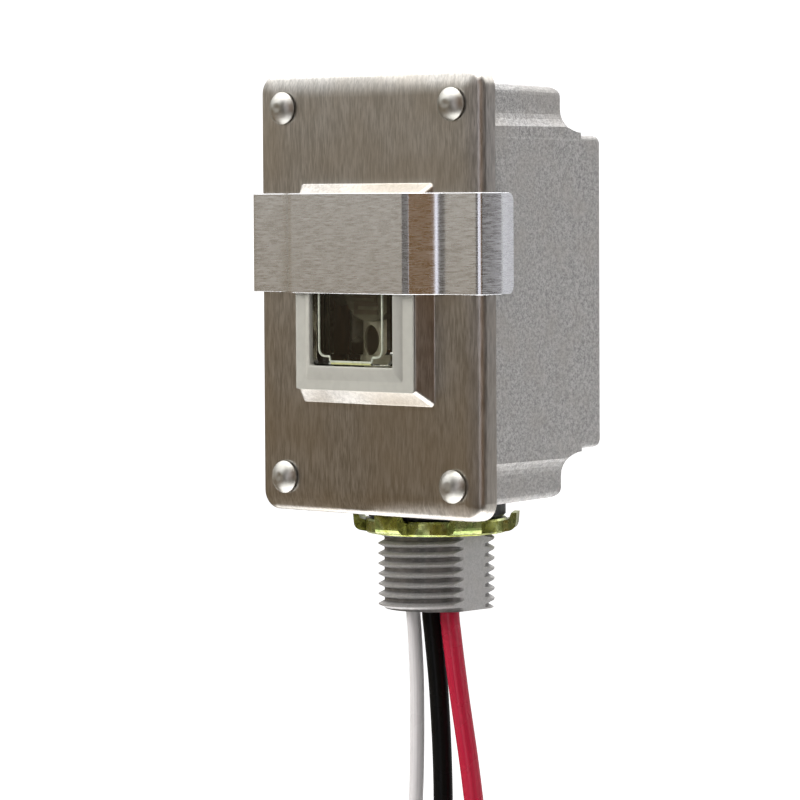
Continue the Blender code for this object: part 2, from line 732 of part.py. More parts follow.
def make_washer():
    top = UNDERSIDE - GAP
    bottom = top - WASHER_THICK
    inner = THREAD_MAJOR / 2 + GAP
    outer = WASHER_OUTER / 2
    soft = 0.4 * MM
    profile = [(inner, bottom), (outer - soft, bottom), (outer, bottom + soft), (outer, top - soft),
               (outer - soft, top), (inner, top)]
    smooth(bake(lathe("sealing_washer", profile, "black_rubber", (0, NIPPLE_BACK))))


def make_locknut():
    """A stamped ring whose six lugs are bent up to bite."""
    top = UNDERSIDE - 2 * GAP - WASHER_THICK
    bottom = top - NUT_THICK
    inner = THREAD_MAJOR / 2 + GAP
    outer = NUT_BODY / 2
    soft = 0.35 * MM
    profile = [(inner, bottom + soft), (inner + soft, bottom), (outer - soft, bottom),
               (outer, bottom + soft), (outer, top - soft), (outer - soft, top), (inner, top)]
    nut = bake(lathe("locknut", profile, "yellow_zinc", (0, NIPPLE_BACK)))
    reach = NUT_OVER_LUGS / 2
    sheet = NUT_THICK * 0.8
    for number in range(NUT_LUGS):
        turn = NUT_TURN + 2 * math.pi * number / NUT_LUGS
        side = rounded_path(
            [(outer - 1.2 * MM, bottom + 0.1 * MM), (reach - 0.3 * MM, bottom + 0.5 * MM), (reach, top + NUT_LUG_RISE)],
            [1.4 * MM], 4,
        )
        back = rounded_path(
            [(outer - 1.2 * MM, bottom + sheet), (reach - 1.4 * MM, bottom + sheet + 0.4 * MM),
             (reach - 1.0 * MM, top + NUT_LUG_RISE)],
            [0.4 * MM], 4,
        )
        bm = bmesh.new()
        rings = []
        for across in (-0.5, 0.5):
            ring = []
            for r, z in side + back[::-1]:
                narrow = 1 - 0.25 * max(0, (r - outer) / (reach - outer))
                s = across * NUT_LUG_WIDTH * narrow
                ring.append((r * math.cos(turn) - s * math.sin(turn),
                             NIPPLE_BACK + r * math.sin(turn) + s * math.cos(turn), z))
            rings.append(ring)
        loft(bm, rings, True, True)
        lug = cutter(f"lug_{number}", mesh_from("lug", bm))
        boolean(nut, "UNION", lug)
    smooth(nut, 30)
    return nut


# Each lead's route: what it passes at the nipple's mouth, then its free hanging stretch
LEADS = {
    "white": (WHITE_LEAD, (-4.1, 16.3), [(-62, -3.6, 16.2), (-72, -2.8, 15.8), (-88, -2.6, 15.3),
                                         (-110, -4.0, 15.2), (-135, -5.8, 16.4), (-160, -6.4, 17.8),
                                         (-179, -6.3, 18.4)]),
    "black": (POWER_LEAD, (-0.4, 17.1), [(-62, 0.2, 17.1), (-72, 1.4, 17.0), (-88, 2.6, 16.6),
                                         (-110, 2.8, 16.2), (-135, 1.5, 16.8), (-160, 0.6, 18.0),
                                         (-178, 0.4, 18.6)]),
    "red": (POWER_LEAD, (3.5, 17.6), [(-62, 4.2, 17.5), (-72, 6.1, 17.2), (-88, 8.8, 17.4),
                                      (-110, 11.0, 18.2), (-135, 10.9, 19.4), (-160, 9.6, 20.2),
                                      (-178, 8.8, 20.4)]),
}


def lead_route(mouth, free):
    """Points of a lead in metres, from its terminal down through the nipple to its end."""
    top = LEAD_TOP / MM
    down = NIPPLE_END / MM
    route = [(top, *mouth), ((2 * top + down) / 3, *mouth), ((top + 2 * down) / 3, *mouth),
             (down + PLUG_LENGTH / MM + 0.5, *mouth), (down - 0.5, *mouth)]
    route += free
    return [Vector((x * MM, y * MM, z * MM)) for z, x, y in route]


def smooth_curve(points, step):
    """Reads points at an even step from a smooth curve through the route's points."""
    padded = [2 * points[0] - points[1]] + points + [2 * points[-1] - points[-2]]
    fine = []
    for p0, p1, p2, p3 in zip(padded, padded[1:], padded[2:], padded[3:]):
        for i in range(24):
            t = i / 24
            fine.append(0.5 * (2 * p1 + (p2 - p0) * t + (2 * p0 - 5 * p1 + 4 * p2 - p3) * t * t
                               + (3 * p1 - p0 - 3 * p2 + p3) * t ** 3))
    fine.append(points[-1])
    lengths = [0.0]
    for a, b in zip(fine, fine[1:]):
        lengths.append(lengths[-1] + (b - a).length)
    count = max(int(lengths[-1] / step), 2)
    evened = []
    position = 0
    for i in range(count + 1):
        wanted = lengths[-1] * i / count
        while position < len(lengths) - 2 and lengths[position + 1] < wanted:
            position += 1
        share = (wanted - lengths[position]) / (lengths[position + 1] - lengths[position])
        evened.append(fine[position].lerp(fine[position + 1], share))
    return evened


def tube(name, points, diameter, finish, resolution=2):
    curve = bpy.data.curves.new(name, "CURVE")
    curve.dimensions = "3D"
    curve.bevel_depth = diameter / 2
    curve.bevel_resolution = resolution
    curve.use_fill_caps = True
    spline = curve.splines.new("POLY")
    spline.points.add(len(points) - 1)
    for point, place in zip(spline.points, points):
        point.co = (*place, 1)
    obj = bpy.data.objects.new(name, curve)
    obj.data.materials.append(finish_material(finish))
    PARTS.objects.link(obj)
    return obj


def make_leads():
    for colour, (diameter, mouth, free) in LEADS.items():
        points = smooth_curve(lead_route(mouth, free), 2.6 * diameter)
        tube(f"lead_{colour}", points, diameter, f"{colour}_insulation")
        along = (points[-1] - points[-2]).normalized()
        start = points[-1] + along * GAP
        tube(f"conductor_{colour}", [start, start + along * STRIPPED], diameter * CORE_SHARE, "bare_copper")


def make_lead_bushing():
    """A fibre plug in the nipple's mouth that holds the three leads apart."""
    bottom = NIPPLE_END + 0.5 * MM
    plug = add_object(
        "lead_bushing",
        rod_mesh("lead_bushing", (0, NIPPLE_BACK, 0), NIPPLE_BORE / 2 - GAP, bottom, bottom + PLUG_LENGTH, "Z", 40),
        "black_rubber",
    )
    for colour, (diameter, mouth, _) in LEADS.items():
        centre = (mouth[0] * MM, mouth[1] * MM, 0)
        hole = rod_mesh("hole", centre, diameter / 2 + GAP / 2, bottom - 2 * MM, bottom + PLUG_LENGTH + 2 * MM, "Z", 16)
        boolean(plug, "DIFFERENCE", cutter(f"bushing_hole_{colour}", hole))
    smooth(plug)


def make_works():
    """The light sensitive cell, its shield, and the heated blade relay on a board."""
    board_front = BOARD_BACK - BOARD_THICK
    board = add_object(
        "base_board",
        box_mesh("base_board", (-BOARD_WIDTH / 2, board_front, -BOARD_HEIGHT / 2),
                 (BOARD_WIDTH / 2, BOARD_BACK, BOARD_HEIGHT / 2)),
        "brown_board",
    )
    for side in (1, -1):
        x = side * POST_ACROSS / 2
        hole = rod_mesh("hole", (x, 0, 0), BOARD_SCREW / 2 + GAP, board_front - 1 * MM, BOARD_BACK + 1 * MM, "Y", 20)
        boolean(board, "DIFFERENCE", cutter(f"board_hole_{side}", hole))
        name = "board_screw_right" if side > 0 else "board_screw_left"
        head = board_front - GAP
        screw = add_object(name, rod_mesh(name, (x, 0, 0), BOARD_SCREW, head - 1.6 * MM, head, "Y", 24), "tinned_steel")
        shank = rod_mesh("shank", (x, 0, 0), BOARD_SCREW / 2, head - 1 * MM, BOARD_BACK + 6 * MM, "Y", 20)
        boolean(screw, "UNION", cutter(f"{name}_shank", shank))
        smooth(screw)
    make_cell(board_front)
    make_relay(board_front)
    make_terminals(board_front)


def make_cell(board_front):
    """A round cell on two legs, and a bowed metal shield behind it with an oval window."""
    centre = (0, 0, CELL_RAISE)
    back = CELL_FRONT + CELL_THICK
    cell = add_object("sensor_cell", rod_mesh("sensor_cell", centre, CELL_ACROSS / 2, CELL_FRONT, back, "Y", 40), "cell_face")
    smooth(cell)
    for side, name in ((1, "cell_leg_right"), (-1, "cell_leg_left")):
        place = (side * CELL_LEGS_ACROSS / 2, 0, CELL_RAISE)
        leg = add_object(name, rod_mesh(name, place, CELL_LEG / 2, back + GAP, board_front - GAP, "Y", 12), "tinned_steel")
        smooth(leg)
    bow = arc((SHIELD_ACROSS, SHIELD_FRONT + SHIELD_RADIUS), SHIELD_RADIUS, 200, 340, 14)
    foot = board_front - GAP
    path = [(bow[0][0], foot)] + bow + [(bow[-1][0], foot)]
    bm = bmesh.new()
    low = [bm.verts.new((x, y, -SHIELD_HEIGHT / 2)) for x, y in path]
    high = [bm.verts.new((x, y, SHIELD_HEIGHT / 2)) for x, y in path]
    for i in range(len(path) - 1):
        bm.faces.new((low[i], low[i + 1], high[i + 1], high[i]))
    shield = add_object("cell_shield", mesh_from("cell_shield", bm), "tinned_steel")
    face_forward(shield)
    sheet = shield.modifiers.new("sheet", "SOLIDIFY")
    sheet.thickness = SHIELD_SHEET
    sheet.offset = -1
    sheet.use_even_offset = True
    for side in (1, -1):
        place = (side * CELL_LEGS_ACROSS / 2, 0, CELL_RAISE)
        hole = rod_mesh("hole", place, CELL_LEG / 2 + GAP, SHIELD_FRONT - 2 * MM, SHIELD_FRONT + 6 * MM, "Y", 16)
        boolean(shield, "DIFFERENCE", cutter(f"shield_hole_{side}", hole))
    oval = rod_mesh("oval", (0, 0, 0), 1, SHIELD_FRONT - 2 * MM, SHIELD_FRONT + 5 * MM, "Y", 28)
    for vert in oval.vertices:
        vert.co.x = OVAL_WIDTH / 2 * vert.co.x + OVAL_ACROSS
        vert.co.z = OVAL_HEIGHT / 2 * vert.co.z + OVAL_RAISE
    boolean(shield, "DIFFERENCE", cutter("shield_oval", oval))
    smooth(shield)


def make_relay(board_front):
    """Two heated blades in brass feet, a heater between them, and a pair of contacts."""
    left, right = -11.0 * MM, 8.0 * MM
    for name, x, top in (("working_blade", left, 15.0 * MM), ("compensating_blade", left + 3.4 * MM, 12.0 * MM)):
        low = (x, board_front - 6.5 * MM, -15 * MM)
        high = (x + 0.5 * MM, board_front - GAP, top)
        add_object(name, box_mesh(name, low, high), "tinned_steel")
    heater = rod_mesh("heater_resistor", (left + 1.95 * MM, board_front - 3.4 * MM, 0), 1.15 * MM, -9 * MM, 5 * MM, "Z", 20)
    smooth(add_object("heater_resistor", heater, "ceramic"))
    contact_z = 13.0 * MM
    moving = rod_mesh("moving_contact", (0, board_front - 3.4 * MM, contact_z), 1.5 * MM,
                      left - GAP - 0.9 * MM, left - GAP, "X", 20)
    smooth(add_object("moving_contact", moving, "bare_copper"))
    post_low = (left - 3.4 * MM, board_front - 5.6 * MM, contact_z - 1.8 * MM)
    post_high = (left - 2.4 * MM, board_front - GAP, contact_z + 1.8 * MM)
    add_object("fixed_contact", box_mesh("fixed_contact", post_low, post_high), "bare_copper")
    low = (right, board_front - 7 * MM, 3 * MM)
    high = (right + 4 * MM, board_front - GAP, 15 * MM)
    body = add_object("surge_resistor", box_mesh("surge_resistor", low, high), "ceramic")
    edge = body.modifiers.new("edge", "BEVEL")
    edge.width = 0.5 * MM
    edge.segments = 2


def make_terminals(board_front):
    """A tab for each lead on the lower edge of the board, down to the lead's core."""
    bottom = LEAD_TOP + GAP
    for colour, (diameter, mouth, _) in LEADS.items():
        x, y = mouth[0] * MM, mouth[1] * MM
        name = f"terminal_{colour}"
        tab = add_object(
            name,
            box_mesh(name, (x - 1.3 * MM, BOARD_BACK + GAP, bottom), (x + 1.3 * MM, BOARD_BACK + GAP + 0.8 * MM, TAB_TOP)),
            "tinned_steel",
        )
        crimp = rod_mesh("crimp", (x, y, 0), diameter / 2 - 0.2 * MM, bottom, bottom + 3 * MM, "Z", 16)
        boolean(tab, "UNION", cutter(f"{name}_crimp", crimp))


def hold_by_nipple():
    """Hangs every piece and cutter on an empty that puts the nipple's shoulder at the origin."""
    holder = bpy.data.objects.new("nipple_shoulder", None)
    bpy.context.scene.collection.objects.link(holder)
    holder.location = (0, -NIPPLE_BACK, -UNDERSIDE)
    for obj in list(PARTS.objects) + list(CUTTERS.objects):
        obj.parent = holder


clear_scene()
PARTS = new_collection("photocell_switch")
CUTTERS = new_collection("cutters")
make_cover()
make_gasket()
make_window_frame()
make_window_lens()
make_slide()
make_rivets()
make_housing()
make_washer()
make_locknut()
make_leads()
make_lead_bushing()
make_works()
hold_by_nipple()
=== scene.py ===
"""Looks for a photocell switch with a light level slide, built round its CAD frame.

Every length is in metres in the frame's own axes: the eye looks out along -Y, +Z is up, and the
nipple's axis is the Z axis with the casting's underside at 0.
"""

import math

import bmesh
import bpy
from mathutils import Matrix, Vector, noise


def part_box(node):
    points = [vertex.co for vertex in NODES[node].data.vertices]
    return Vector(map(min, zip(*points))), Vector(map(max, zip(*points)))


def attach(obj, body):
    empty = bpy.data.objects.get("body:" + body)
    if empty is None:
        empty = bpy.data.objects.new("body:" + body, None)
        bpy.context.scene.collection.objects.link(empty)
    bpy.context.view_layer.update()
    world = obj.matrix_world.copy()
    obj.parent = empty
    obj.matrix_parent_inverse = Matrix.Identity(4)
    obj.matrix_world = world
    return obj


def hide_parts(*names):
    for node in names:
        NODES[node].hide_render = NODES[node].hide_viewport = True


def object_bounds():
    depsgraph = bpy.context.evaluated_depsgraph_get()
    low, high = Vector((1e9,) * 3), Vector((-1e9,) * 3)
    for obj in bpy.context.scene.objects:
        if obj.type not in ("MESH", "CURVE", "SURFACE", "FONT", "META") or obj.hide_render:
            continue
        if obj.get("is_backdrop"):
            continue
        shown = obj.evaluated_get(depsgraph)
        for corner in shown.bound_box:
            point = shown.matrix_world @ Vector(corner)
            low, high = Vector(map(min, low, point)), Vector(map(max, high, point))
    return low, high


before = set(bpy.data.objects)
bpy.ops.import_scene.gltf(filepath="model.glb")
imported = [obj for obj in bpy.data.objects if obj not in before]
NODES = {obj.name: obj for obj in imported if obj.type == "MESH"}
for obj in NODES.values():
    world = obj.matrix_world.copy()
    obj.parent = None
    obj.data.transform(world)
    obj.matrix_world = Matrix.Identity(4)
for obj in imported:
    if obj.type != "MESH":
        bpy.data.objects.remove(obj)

bl_info = {
    "name": "Photocell Switch Looks",
    "version": (1, 0, 0),
    "blender": (4, 5, 0),
    "location": "3D View > Sidebar > Photocell",
    "description": "Finishes, leads, rivets and studio for a photocell switch",
    "category": "Object",
}

MM = 0.001
TURN = 2 * math.pi
QUARTER = math.pi / 2

COVER_FRONT = -18.1 * MM
COVER_MIDDLE = 36.7 * MM
COVER_LOW, COVER_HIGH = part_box("cover")
LENS_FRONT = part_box("window_lens")[0].y
SLIDE_LOW, SLIDE_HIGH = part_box("light_level_slide")
RIVET_LOW, RIVET_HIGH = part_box("rivet_top_right")
RIVET_LOW_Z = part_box("rivet_bottom_right")[0].z
CELL_LOW, CELL_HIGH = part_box("sensor_cell")
FRAME_LOW, FRAME_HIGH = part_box("window_frame")
HOUSING_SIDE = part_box("housing")[1].x

# Room between pieces that lie on each other, and the round-off of a cut or moulded edge.
GAP = 0.3 * MM
SOFT = 0.12 * MM

# Each lead: diameter, where it passes the nipple's mouth, and its free hanging stretch,
# as (height, across, depth) in millimetres from the middle of the cover's front face.
LEADS = {
    "white": (2.6, (-4.1, 16.3), [(-62, -3.6, 16.2), (-72, -2.8, 15.8), (-88, -2.6, 15.3),
                                  (-110, -4.0, 15.2), (-135, -5.8, 16.4), (-160, -6.4, 17.8),
                                  (-179, -6.3, 18.4)]),
    "black": (3.5, (-0.4, 17.1), [(-62, 0.2, 17.1), (-72, 1.4, 17.0), (-88, 2.6, 16.6),
                                  (-110, 2.8, 16.2), (-135, 1.5, 16.8), (-160, 0.6, 18.0),
                                  (-178, 0.4, 18.6)]),
    "red": (3.5, (3.5, 17.6), [(-62, 4.2, 17.5), (-72, 6.1, 17.2), (-88, 8.8, 17.4),
                               (-110, 11.0, 18.2), (-135, 10.9, 19.4), (-160, 9.6, 20.2),
                               (-178, 8.8, 20.4)]),
}
INSIDE_HEIGHTS = (-30.0, -38.87, -47.73, -50.1, -57.1)
NIPPLE_MOUTH = -56.6
LEAD_STEP = 1.2 * MM

# The finishes of inner and plain parts: dark shade, light shade, grain a metre, roughness, depth of
# the grain, and where they differ from a plain moulding, metallic and the grain's stretch.
DULL_FINISHES = {
    "black_rubber": ((0.010, 0.010, 0.010), (0.022, 0.021, 0.02), 1500, 0.55, 0.03 * MM),
    "brown_board": ((0.12, 0.055, 0.028), (0.24, 0.12, 0.06), 900, 0.5, 0.03 * MM, 0.0, (1, 1, 0.12)),
    "cell_face": ((0.075, 0.068, 0.048), (0.11, 0.10, 0.072), 500, 0.4, 0.01 * MM),
    "tinned_steel": ((0.58, 0.58, 0.57), (0.74, 0.73, 0.71), 800, 0.24, 0.01 * MM, 1.0),
    "ceramic": ((0.58, 0.54, 0.46), (0.72, 0.68, 0.60), 900, 0.6, 0.03 * MM),
    "bare_copper": ((0.62, 0.27, 0.14), (0.86, 0.46, 0.28), 900, 0.26, 0.01 * MM, 1.0),
    "dull_tin": ((0.46, 0.42, 0.35), (0.55, 0.51, 0.43), 300, 0.5, 0.01 * MM, 0.1),
}

# The mirrored wall, in degrees round the switch from its front: its two ends, and where its dark
# corner starts and is full.
WALL_ENDS = (-140, 150)
CORNER = (-26, -16)

# How much of the white surroundings shows through the window, the matt floor's own colour, and the
# shade of a bright pit in the steel.
THROUGH_GLASS = 0.35
GREY = (0.80, 0.80, 0.80)


def a_number(label, text, value, **more):
    """A number that a user can change."""
    return bpy.props.FloatProperty(name=label, description=text, default=value, **more)


def a_power(label, text, value):
    return a_number(label, text, value, min=0)


def a_length(label, text, value):
    return a_number(label, text, value, unit="LENGTH")


def an_angle(label, text, degrees):
    return a_number(label, text, math.radians(degrees), subtype="ANGLE")


def a_count(label, text, value, least=0):
    return bpy.props.IntProperty(name=label, description=text, default=value, min=least)


def a_colour(label, text, value, most=1):
    return bpy.props.FloatVectorProperty(
        name=label, description=text, default=value, subtype="COLOR", min=0, max=most)


class StudioSettings(bpy.types.PropertyGroup):
    """The camera, the lamps, the white sweep and the dim wall."""

    camera_turn: an_angle("Camera Turn", "How far the camera stands round to the right", 41.9982)
    camera_tilt: an_angle("Camera Tilt", "How far the camera looks down", 3.0167)
    camera_roll: an_angle("Camera Roll", "How far the camera leans", -0.3024)
    camera_place: bpy.props.FloatVectorProperty(
        name="Camera Place", description="Where the camera stands",
        default=(0.45766, -0.51790, 0.05380), subtype="TRANSLATION", unit="LENGTH")
    lens: a_number("Lens", "Focal length on a 36 mm sensor", 173.78, min=20)
    floor_drop: a_length("Floor Drop", "How far the floor lies under the lead ends", 0.03)
    sweep_reach: a_length("Sweep Reach", "Distance from the switch to the backdrop", 2.2)
    overhead: a_power("Overhead Light", "Power of the soft light above", 4.0)
    key: a_power("Key Light", "Power of the light on the left in front", 9.0)
    side: a_power("Side Light", "Power of the soft light on the right", 3.2)
    front: a_power("Front Light", "Power of the soft light behind the camera", 2.4)
    sky: a_power("Room Light", "Strength of the even light of the room", 0.15)
    ceiling: a_power("Ceiling", "How bright the ceiling looks in steel", 2.6)
    dim_low: a_colour("Dim Wall Low", "The dim wall that the cover mirrors, low down",
                      (0.215, 0.158, 0.094))
    dim_high: a_colour("Dim Wall High", "The dim wall that the cover mirrors, high up",
                       (0.46, 0.435, 0.385))
    dim_corner: a_colour("Dark Corner", "The wall's dark stretch left of the camera",
                         (0.10, 0.085, 0.07))
    bright_strip: a_colour("Bright Strip", "The tall bright strip beside the camera",
                           (1.25, 1.24, 1.36), 4)
    brown: a_colour("Brown Stretch", "The wall behind the camera", (0.19, 0.10, 0.035))
    dark_side: a_colour("Dark Side", "The wall's darkest stretch, right of the camera",
                        (0.030, 0.017, 0.009))
    bright_end: a_colour("Bright End", "The wall's far end, which the skirt mirrors",
                         (1.05, 1.03, 1.10), 4)


class LeadSettings(bpy.types.PropertyGroup):
    """The three leads and their stripped ends."""

    stripped: a_length("Stripped Length", "Bare copper past the insulation", 12 * MM)
    core_share: a_number("Core Share", "Copper bundle's width as a share of the lead's", 0.5,
                         min=0.2, max=0.8)
    sides: a_count("Sides", "Sides of a lead's round section", 28, 12)
    twist: a_number("Twist", "Turns a metre of the copper strands", 70.0)


class CoverSettings(bpy.types.PropertyGroup):
    """The drawn cover with its raised seat round the window."""

    sheet: a_length("Sheet", "Thickness of the sheet", 0.8 * MM)
    bend: a_length("Bend", "Outer radius of the bend all round", 1.4 * MM)
    corner: a_length("Corner", "Radius of the corners, seen from the front", 3.4 * MM)
    shoulder: a_length("Shoulder", "Where the flat starts to fall off, from the edge", 4.3 * MM)
    fall: an_angle("Fall", "Slope of the shoulder where it meets the bend", 15)
    seat_width: a_length("Seat Width", "Across the foot of the raised seat", 31.6 * MM)
    seat_height: a_length("Seat Height", "Height of the foot of the raised seat", 38.6 * MM)
    slope_side: a_length("Side Slope", "Run of the seat's left and right slopes", 1.8 * MM)
    slope_end: a_length("End Slope", "Run of the seat's upper and lower slopes", 2.4 * MM)
    seat_corner: a_length("Seat Corner", "Radius of the raised seat's corners", 0.9 * MM)
    lip: a_length("Lip", "Flat round the opening, under the white frame", 1.9 * MM)
    hole: a_length("Rivet Hole", "Across a rivet's hole", 3.6 * MM)


class SlideSettings(bpy.types.PropertyGroup):
    """The bent strip that sets the light level."""

    sheet: a_length("Sheet", "Thickness of the strip", 0.7 * MM)
    flat: a_length("Flat", "Width of the flat over the window", 27.4 * MM)
    slope: a_length("Slope Run", "Run of each slope down to a wing", 4.3 * MM)
    bend: a_length("Bend", "Radius where a slope meets a wing", 4.5 * MM)
    facet: a_length("Facet", "Run of the narrow facet before each slope", 1.16 * MM)
    fold: a_length("Fold", "Run of the facet round the cover's edge", 0.85 * MM)
    hook: a_length("Hook", "Length of the straight end behind the cover", 3.2 * MM)
    lean: a_length("Lean", "How far the hook's end leans in to the casting", 0.12 * MM)
    tip: a_length("Tip", "Radius of the four free corners", 1.2 * MM)
    edge: a_length("Edge", "How much the cut edges are rubbed off", 0.08 * MM)


class FrameSettings(bpy.types.PropertyGroup):
    """The white moulded frame round the window."""

    thick: a_length("Thickness", "Thickness of the outer rim", 0.25 * MM)
    rim_side: a_length("Side Rim", "Width of the flat rim left and right", 2.5 * MM)
    rim_end: a_length("End Rim", "Width of the flat rim above and below", 1.8 * MM)
    bevel_side: a_length("Side Bevel", "Width of the slope left and right", 1.7 * MM)
    bevel_end: a_length("End Bevel", "Width of the slope above and below", 2.5 * MM)


class WindowSettings(bpy.types.PropertyGroup):
    """The rib on the clear window and the folded track on the cell behind it."""

    rib: a_length("Rib", "Width of the rib on the window", 0.42 * MM)
    stand: a_length("Stand", "How far the rib stands off the window", 0.22 * MM)
    bars: a_count("Bars", "Bars of the cell's folded track", 7, 2)
    pitch: a_length("Pitch", "Spacing of the track's bars", 1.45 * MM)
    bar: a_length("Bar", "Width of a bar of the track", 0.85 * MM)
    reach: a_length("Reach", "Length of a bar", 5.6 * MM)


class RivetSettings(bpy.types.PropertyGroup):
    """The four domed rivets."""

    width: a_length("Head Width", "Across a rivet's head", RIVET_HIGH.x - RIVET_LOW.x)
    rise: a_length("Head Rise", "Height of the domed head", 1.6 * MM)
    shank: a_length("Shank", "Across a rivet's shank", 3.0 * MM)
    depth: a_length("Shank Length", "Length of the shank", 7.0 * MM)
    across: a_length("Across", "Spacing from left to right", RIVET_LOW.x + RIVET_HIGH.x)
    upright: a_length("Upright", "Spacing from top to bottom", RIVET_LOW.z - RIVET_LOW_Z)
    seed: a_count("Seed", "Picks how each rivet is turned", 4)


class FinishSettings(bpy.types.PropertyGroup):
    """Main colours of the finishes."""

    steel: a_colour("Steel", "Brushed stainless steel", (0.60, 0.58, 0.55))
    casting: a_colour("Casting", "Blasted die casting", (0.455, 0.447, 0.44))
    chromate: a_colour("Chromate", "Yellow chromate on the locknut", (0.34, 0.36, 0.07))
    moulding: a_colour("Moulding", "White window frame", (0.55, 0.535, 0.475))
    white: a_colour("White Lead", "White insulation", (0.88, 0.84, 0.83))
    black: a_colour("Black Lead", "Black insulation", (0.006, 0.006, 0.006))
    red: a_colour("Red Lead", "Red insulation", (0.56, 0.014, 0.05))


class Wire:
    """A value in a node tree: its socket, with Python's operators for the Math nodes."""

    def __init__(self, tree, socket):
        self.tree = tree
        self.socket = socket

    def maths(self, operation, *values):
        node = self.tree.nodes.new("ShaderNodeMath")
        node.operation = operation
        for slot, value in zip(node.inputs, values):
            if isinstance(value, Wire):
                self.tree.links.new(value.socket, slot)
            else:
                slot.default_value = value
        return Wire(self.tree, node.outputs[0])

    def __add__(self, other):
        return self.maths("ADD", self, other)

    def __radd__(self, other):
        return self.maths("ADD", other, self)

    def __sub__(self, other):
        return self.maths("SUBTRACT", self, other)

    def __rsub__(self, other):
        return self.maths("SUBTRACT", other, self)

    def __mul__(self, other):
        return self.maths("MULTIPLY", self, other)

    def __rmul__(self, other):
        return self.maths("MULTIPLY", other, self)

    def __mod__(self, other):
        return self.maths("MODULO", self, other)

    def __abs__(self):
        return self.maths("ABSOLUTE", self)

    def lower(self, other):
        return self.maths("MINIMUM", self, other)


class Tree:
    """A node tree and the call that adds a node to it."""

    def node(self, kind, settings=None, sockets=None, output=0):
        """Adds a node: its settings first, then the numbers or wires of its sockets."""
        node = self.tree.nodes.new(kind)
        for key, value in (settings or {}).items():
            if key == "stops":
                fill_ramp(node.color_ramp, value)
            else:
                setattr(node, key, value)
        for key, value in (sockets or {}).items():
            if isinstance(value, Wire):
                self.tree.links.new(value.socket, node.inputs[key])
            else:
                node.inputs[key].default_value = value
        return Wire(self.tree, node.outputs[output])


class Shader(Tree):
    """The node tree of a material or world, and the calls that fill it."""

    def __init__(self, owner):
        owner.use_nodes = True
        self.owner = owner
        self.tree = owner.node_tree
        self.tree.nodes.clear()

    def position(self):
        """Object coordinates, in metres."""
        return self.node("ShaderNodeTexCoord", output=3)

    def axes(self, vector):
        """The three numbers of a vector."""
        split = self.tree.nodes.new("ShaderNodeSeparateXYZ")
        self.tree.links.new(vector.socket, split.inputs[0])
        return [Wire(self.tree, output) for output in split.outputs]

    def noise(self, scale, detail=2.0, rough=0.5, vector=None):
        """Noise of so many repeats a metre, as one number or as three for the axes."""
        vector = vector or self.position()
        if isinstance(scale, tuple):
            vector = self.node("ShaderNodeMapping", None, {"Vector": vector, "Scale": scale})
            scale = 1.0
        return self.node("ShaderNodeTexNoise", None, {
            "Vector": vector, "Scale": scale, "Detail": detail, "Roughness": rough})

    def spread(self, value, low, high, to_low=0.0, to_high=1.0):
        """Reads a value between two limits, with soft ends."""
        return self.node("ShaderNodeMapRange", {"interpolation_type": "SMOOTHSTEP"}, {
            "Value": value, "From Min": low, "From Max": high, "To Min": to_low,
            "To Max": to_high})

    def mix(self, share, first, second):
        sockets = {0: share, 6: colour(first), 7: colour(second)}
        return self.node("ShaderNodeMix", {"data_type": "RGBA"}, sockets, 2)

    def blend(self, value, low, high, first, second, share=None):
        """The first colour where the value is low, and up to a share of the second where it is high."""
        mask = self.spread(value, low, high)
        return self.mix(mask * share if share else mask, first, second)

    def bump(self, height, depth, strength, under=None):
        """Depth is the real height of the pattern in metres."""
        sockets = {"Height": height, "Distance": depth, "Strength": strength}
        if under is not None:
            sockets["Normal"] = under
        return self.node("ShaderNodeBump", None, sockets)

    def principled(self, shade, rough, normal, **more):
        """A Principled BSDF; more names its other sockets, with _ for a space."""
        sockets = {"Base Color": colour(shade), "Roughness": rough, "Normal": normal}
        for name, value in more.items():
            sockets[name.replace("_", " ")] = value
        return self.node("ShaderNodeBsdfPrincipled", None, sockets)

    def emission(self, shade, strength=1.0):
        return self.node("ShaderNodeEmission", None, {"Color": colour(shade), "Strength": strength})

    def either(self, share, first, second):
        """A Mix Shader."""
        return self.node("ShaderNodeMixShader", None, {0: share, 1: first, 2: second})

    def rays(self):
        """How much a ray comes from the camera, also through glass, and whether steel mirrors it."""
        path = self.tree.nodes.new("ShaderNodeLightPath").outputs
        camera, glossy, glass = [
            Wire(self.tree, path[f"Is {kind} Ray"]) for kind in ("Camera", "Glossy", "Transmission")]
        return (camera + glass * THROUGH_GLASS).lower(1.0), glossy

    def end(self, shader, kind="ShaderNodeOutputMaterial"):
        """Links the tree's output and gives back the tree's owner."""
        output = self.tree.nodes.new(kind)
        self.tree.links.new(shader.socket, output.inputs[0])
        return self.owner


def colour(value):
    """Three numbers become a colour; a wire stays as it is."""
    if isinstance(value, Wire):
        return value
    return (*list(value)[:3], 1.0)


def scaled(tone, *factors):
    """A colour times one factor, or times three for its red, green and blue, up to full white."""
    if len(factors) == 1:
        factors *= 3
    return [min(part * factor, 1) for part, factor in zip(tone, factors)]


def fill_ramp(ramp, stops):
    while len(ramp.elements) > 1:
        ramp.elements.remove(ramp.elements[-1])
    for number, (at, shade) in enumerate(stops):
        element = ramp.elements[0] if number == 0 else ramp.elements.new(at)
        element.position = at
        element.color = colour(shade)


def new_shader(name):
    return Shader(bpy.data.materials.new(name))


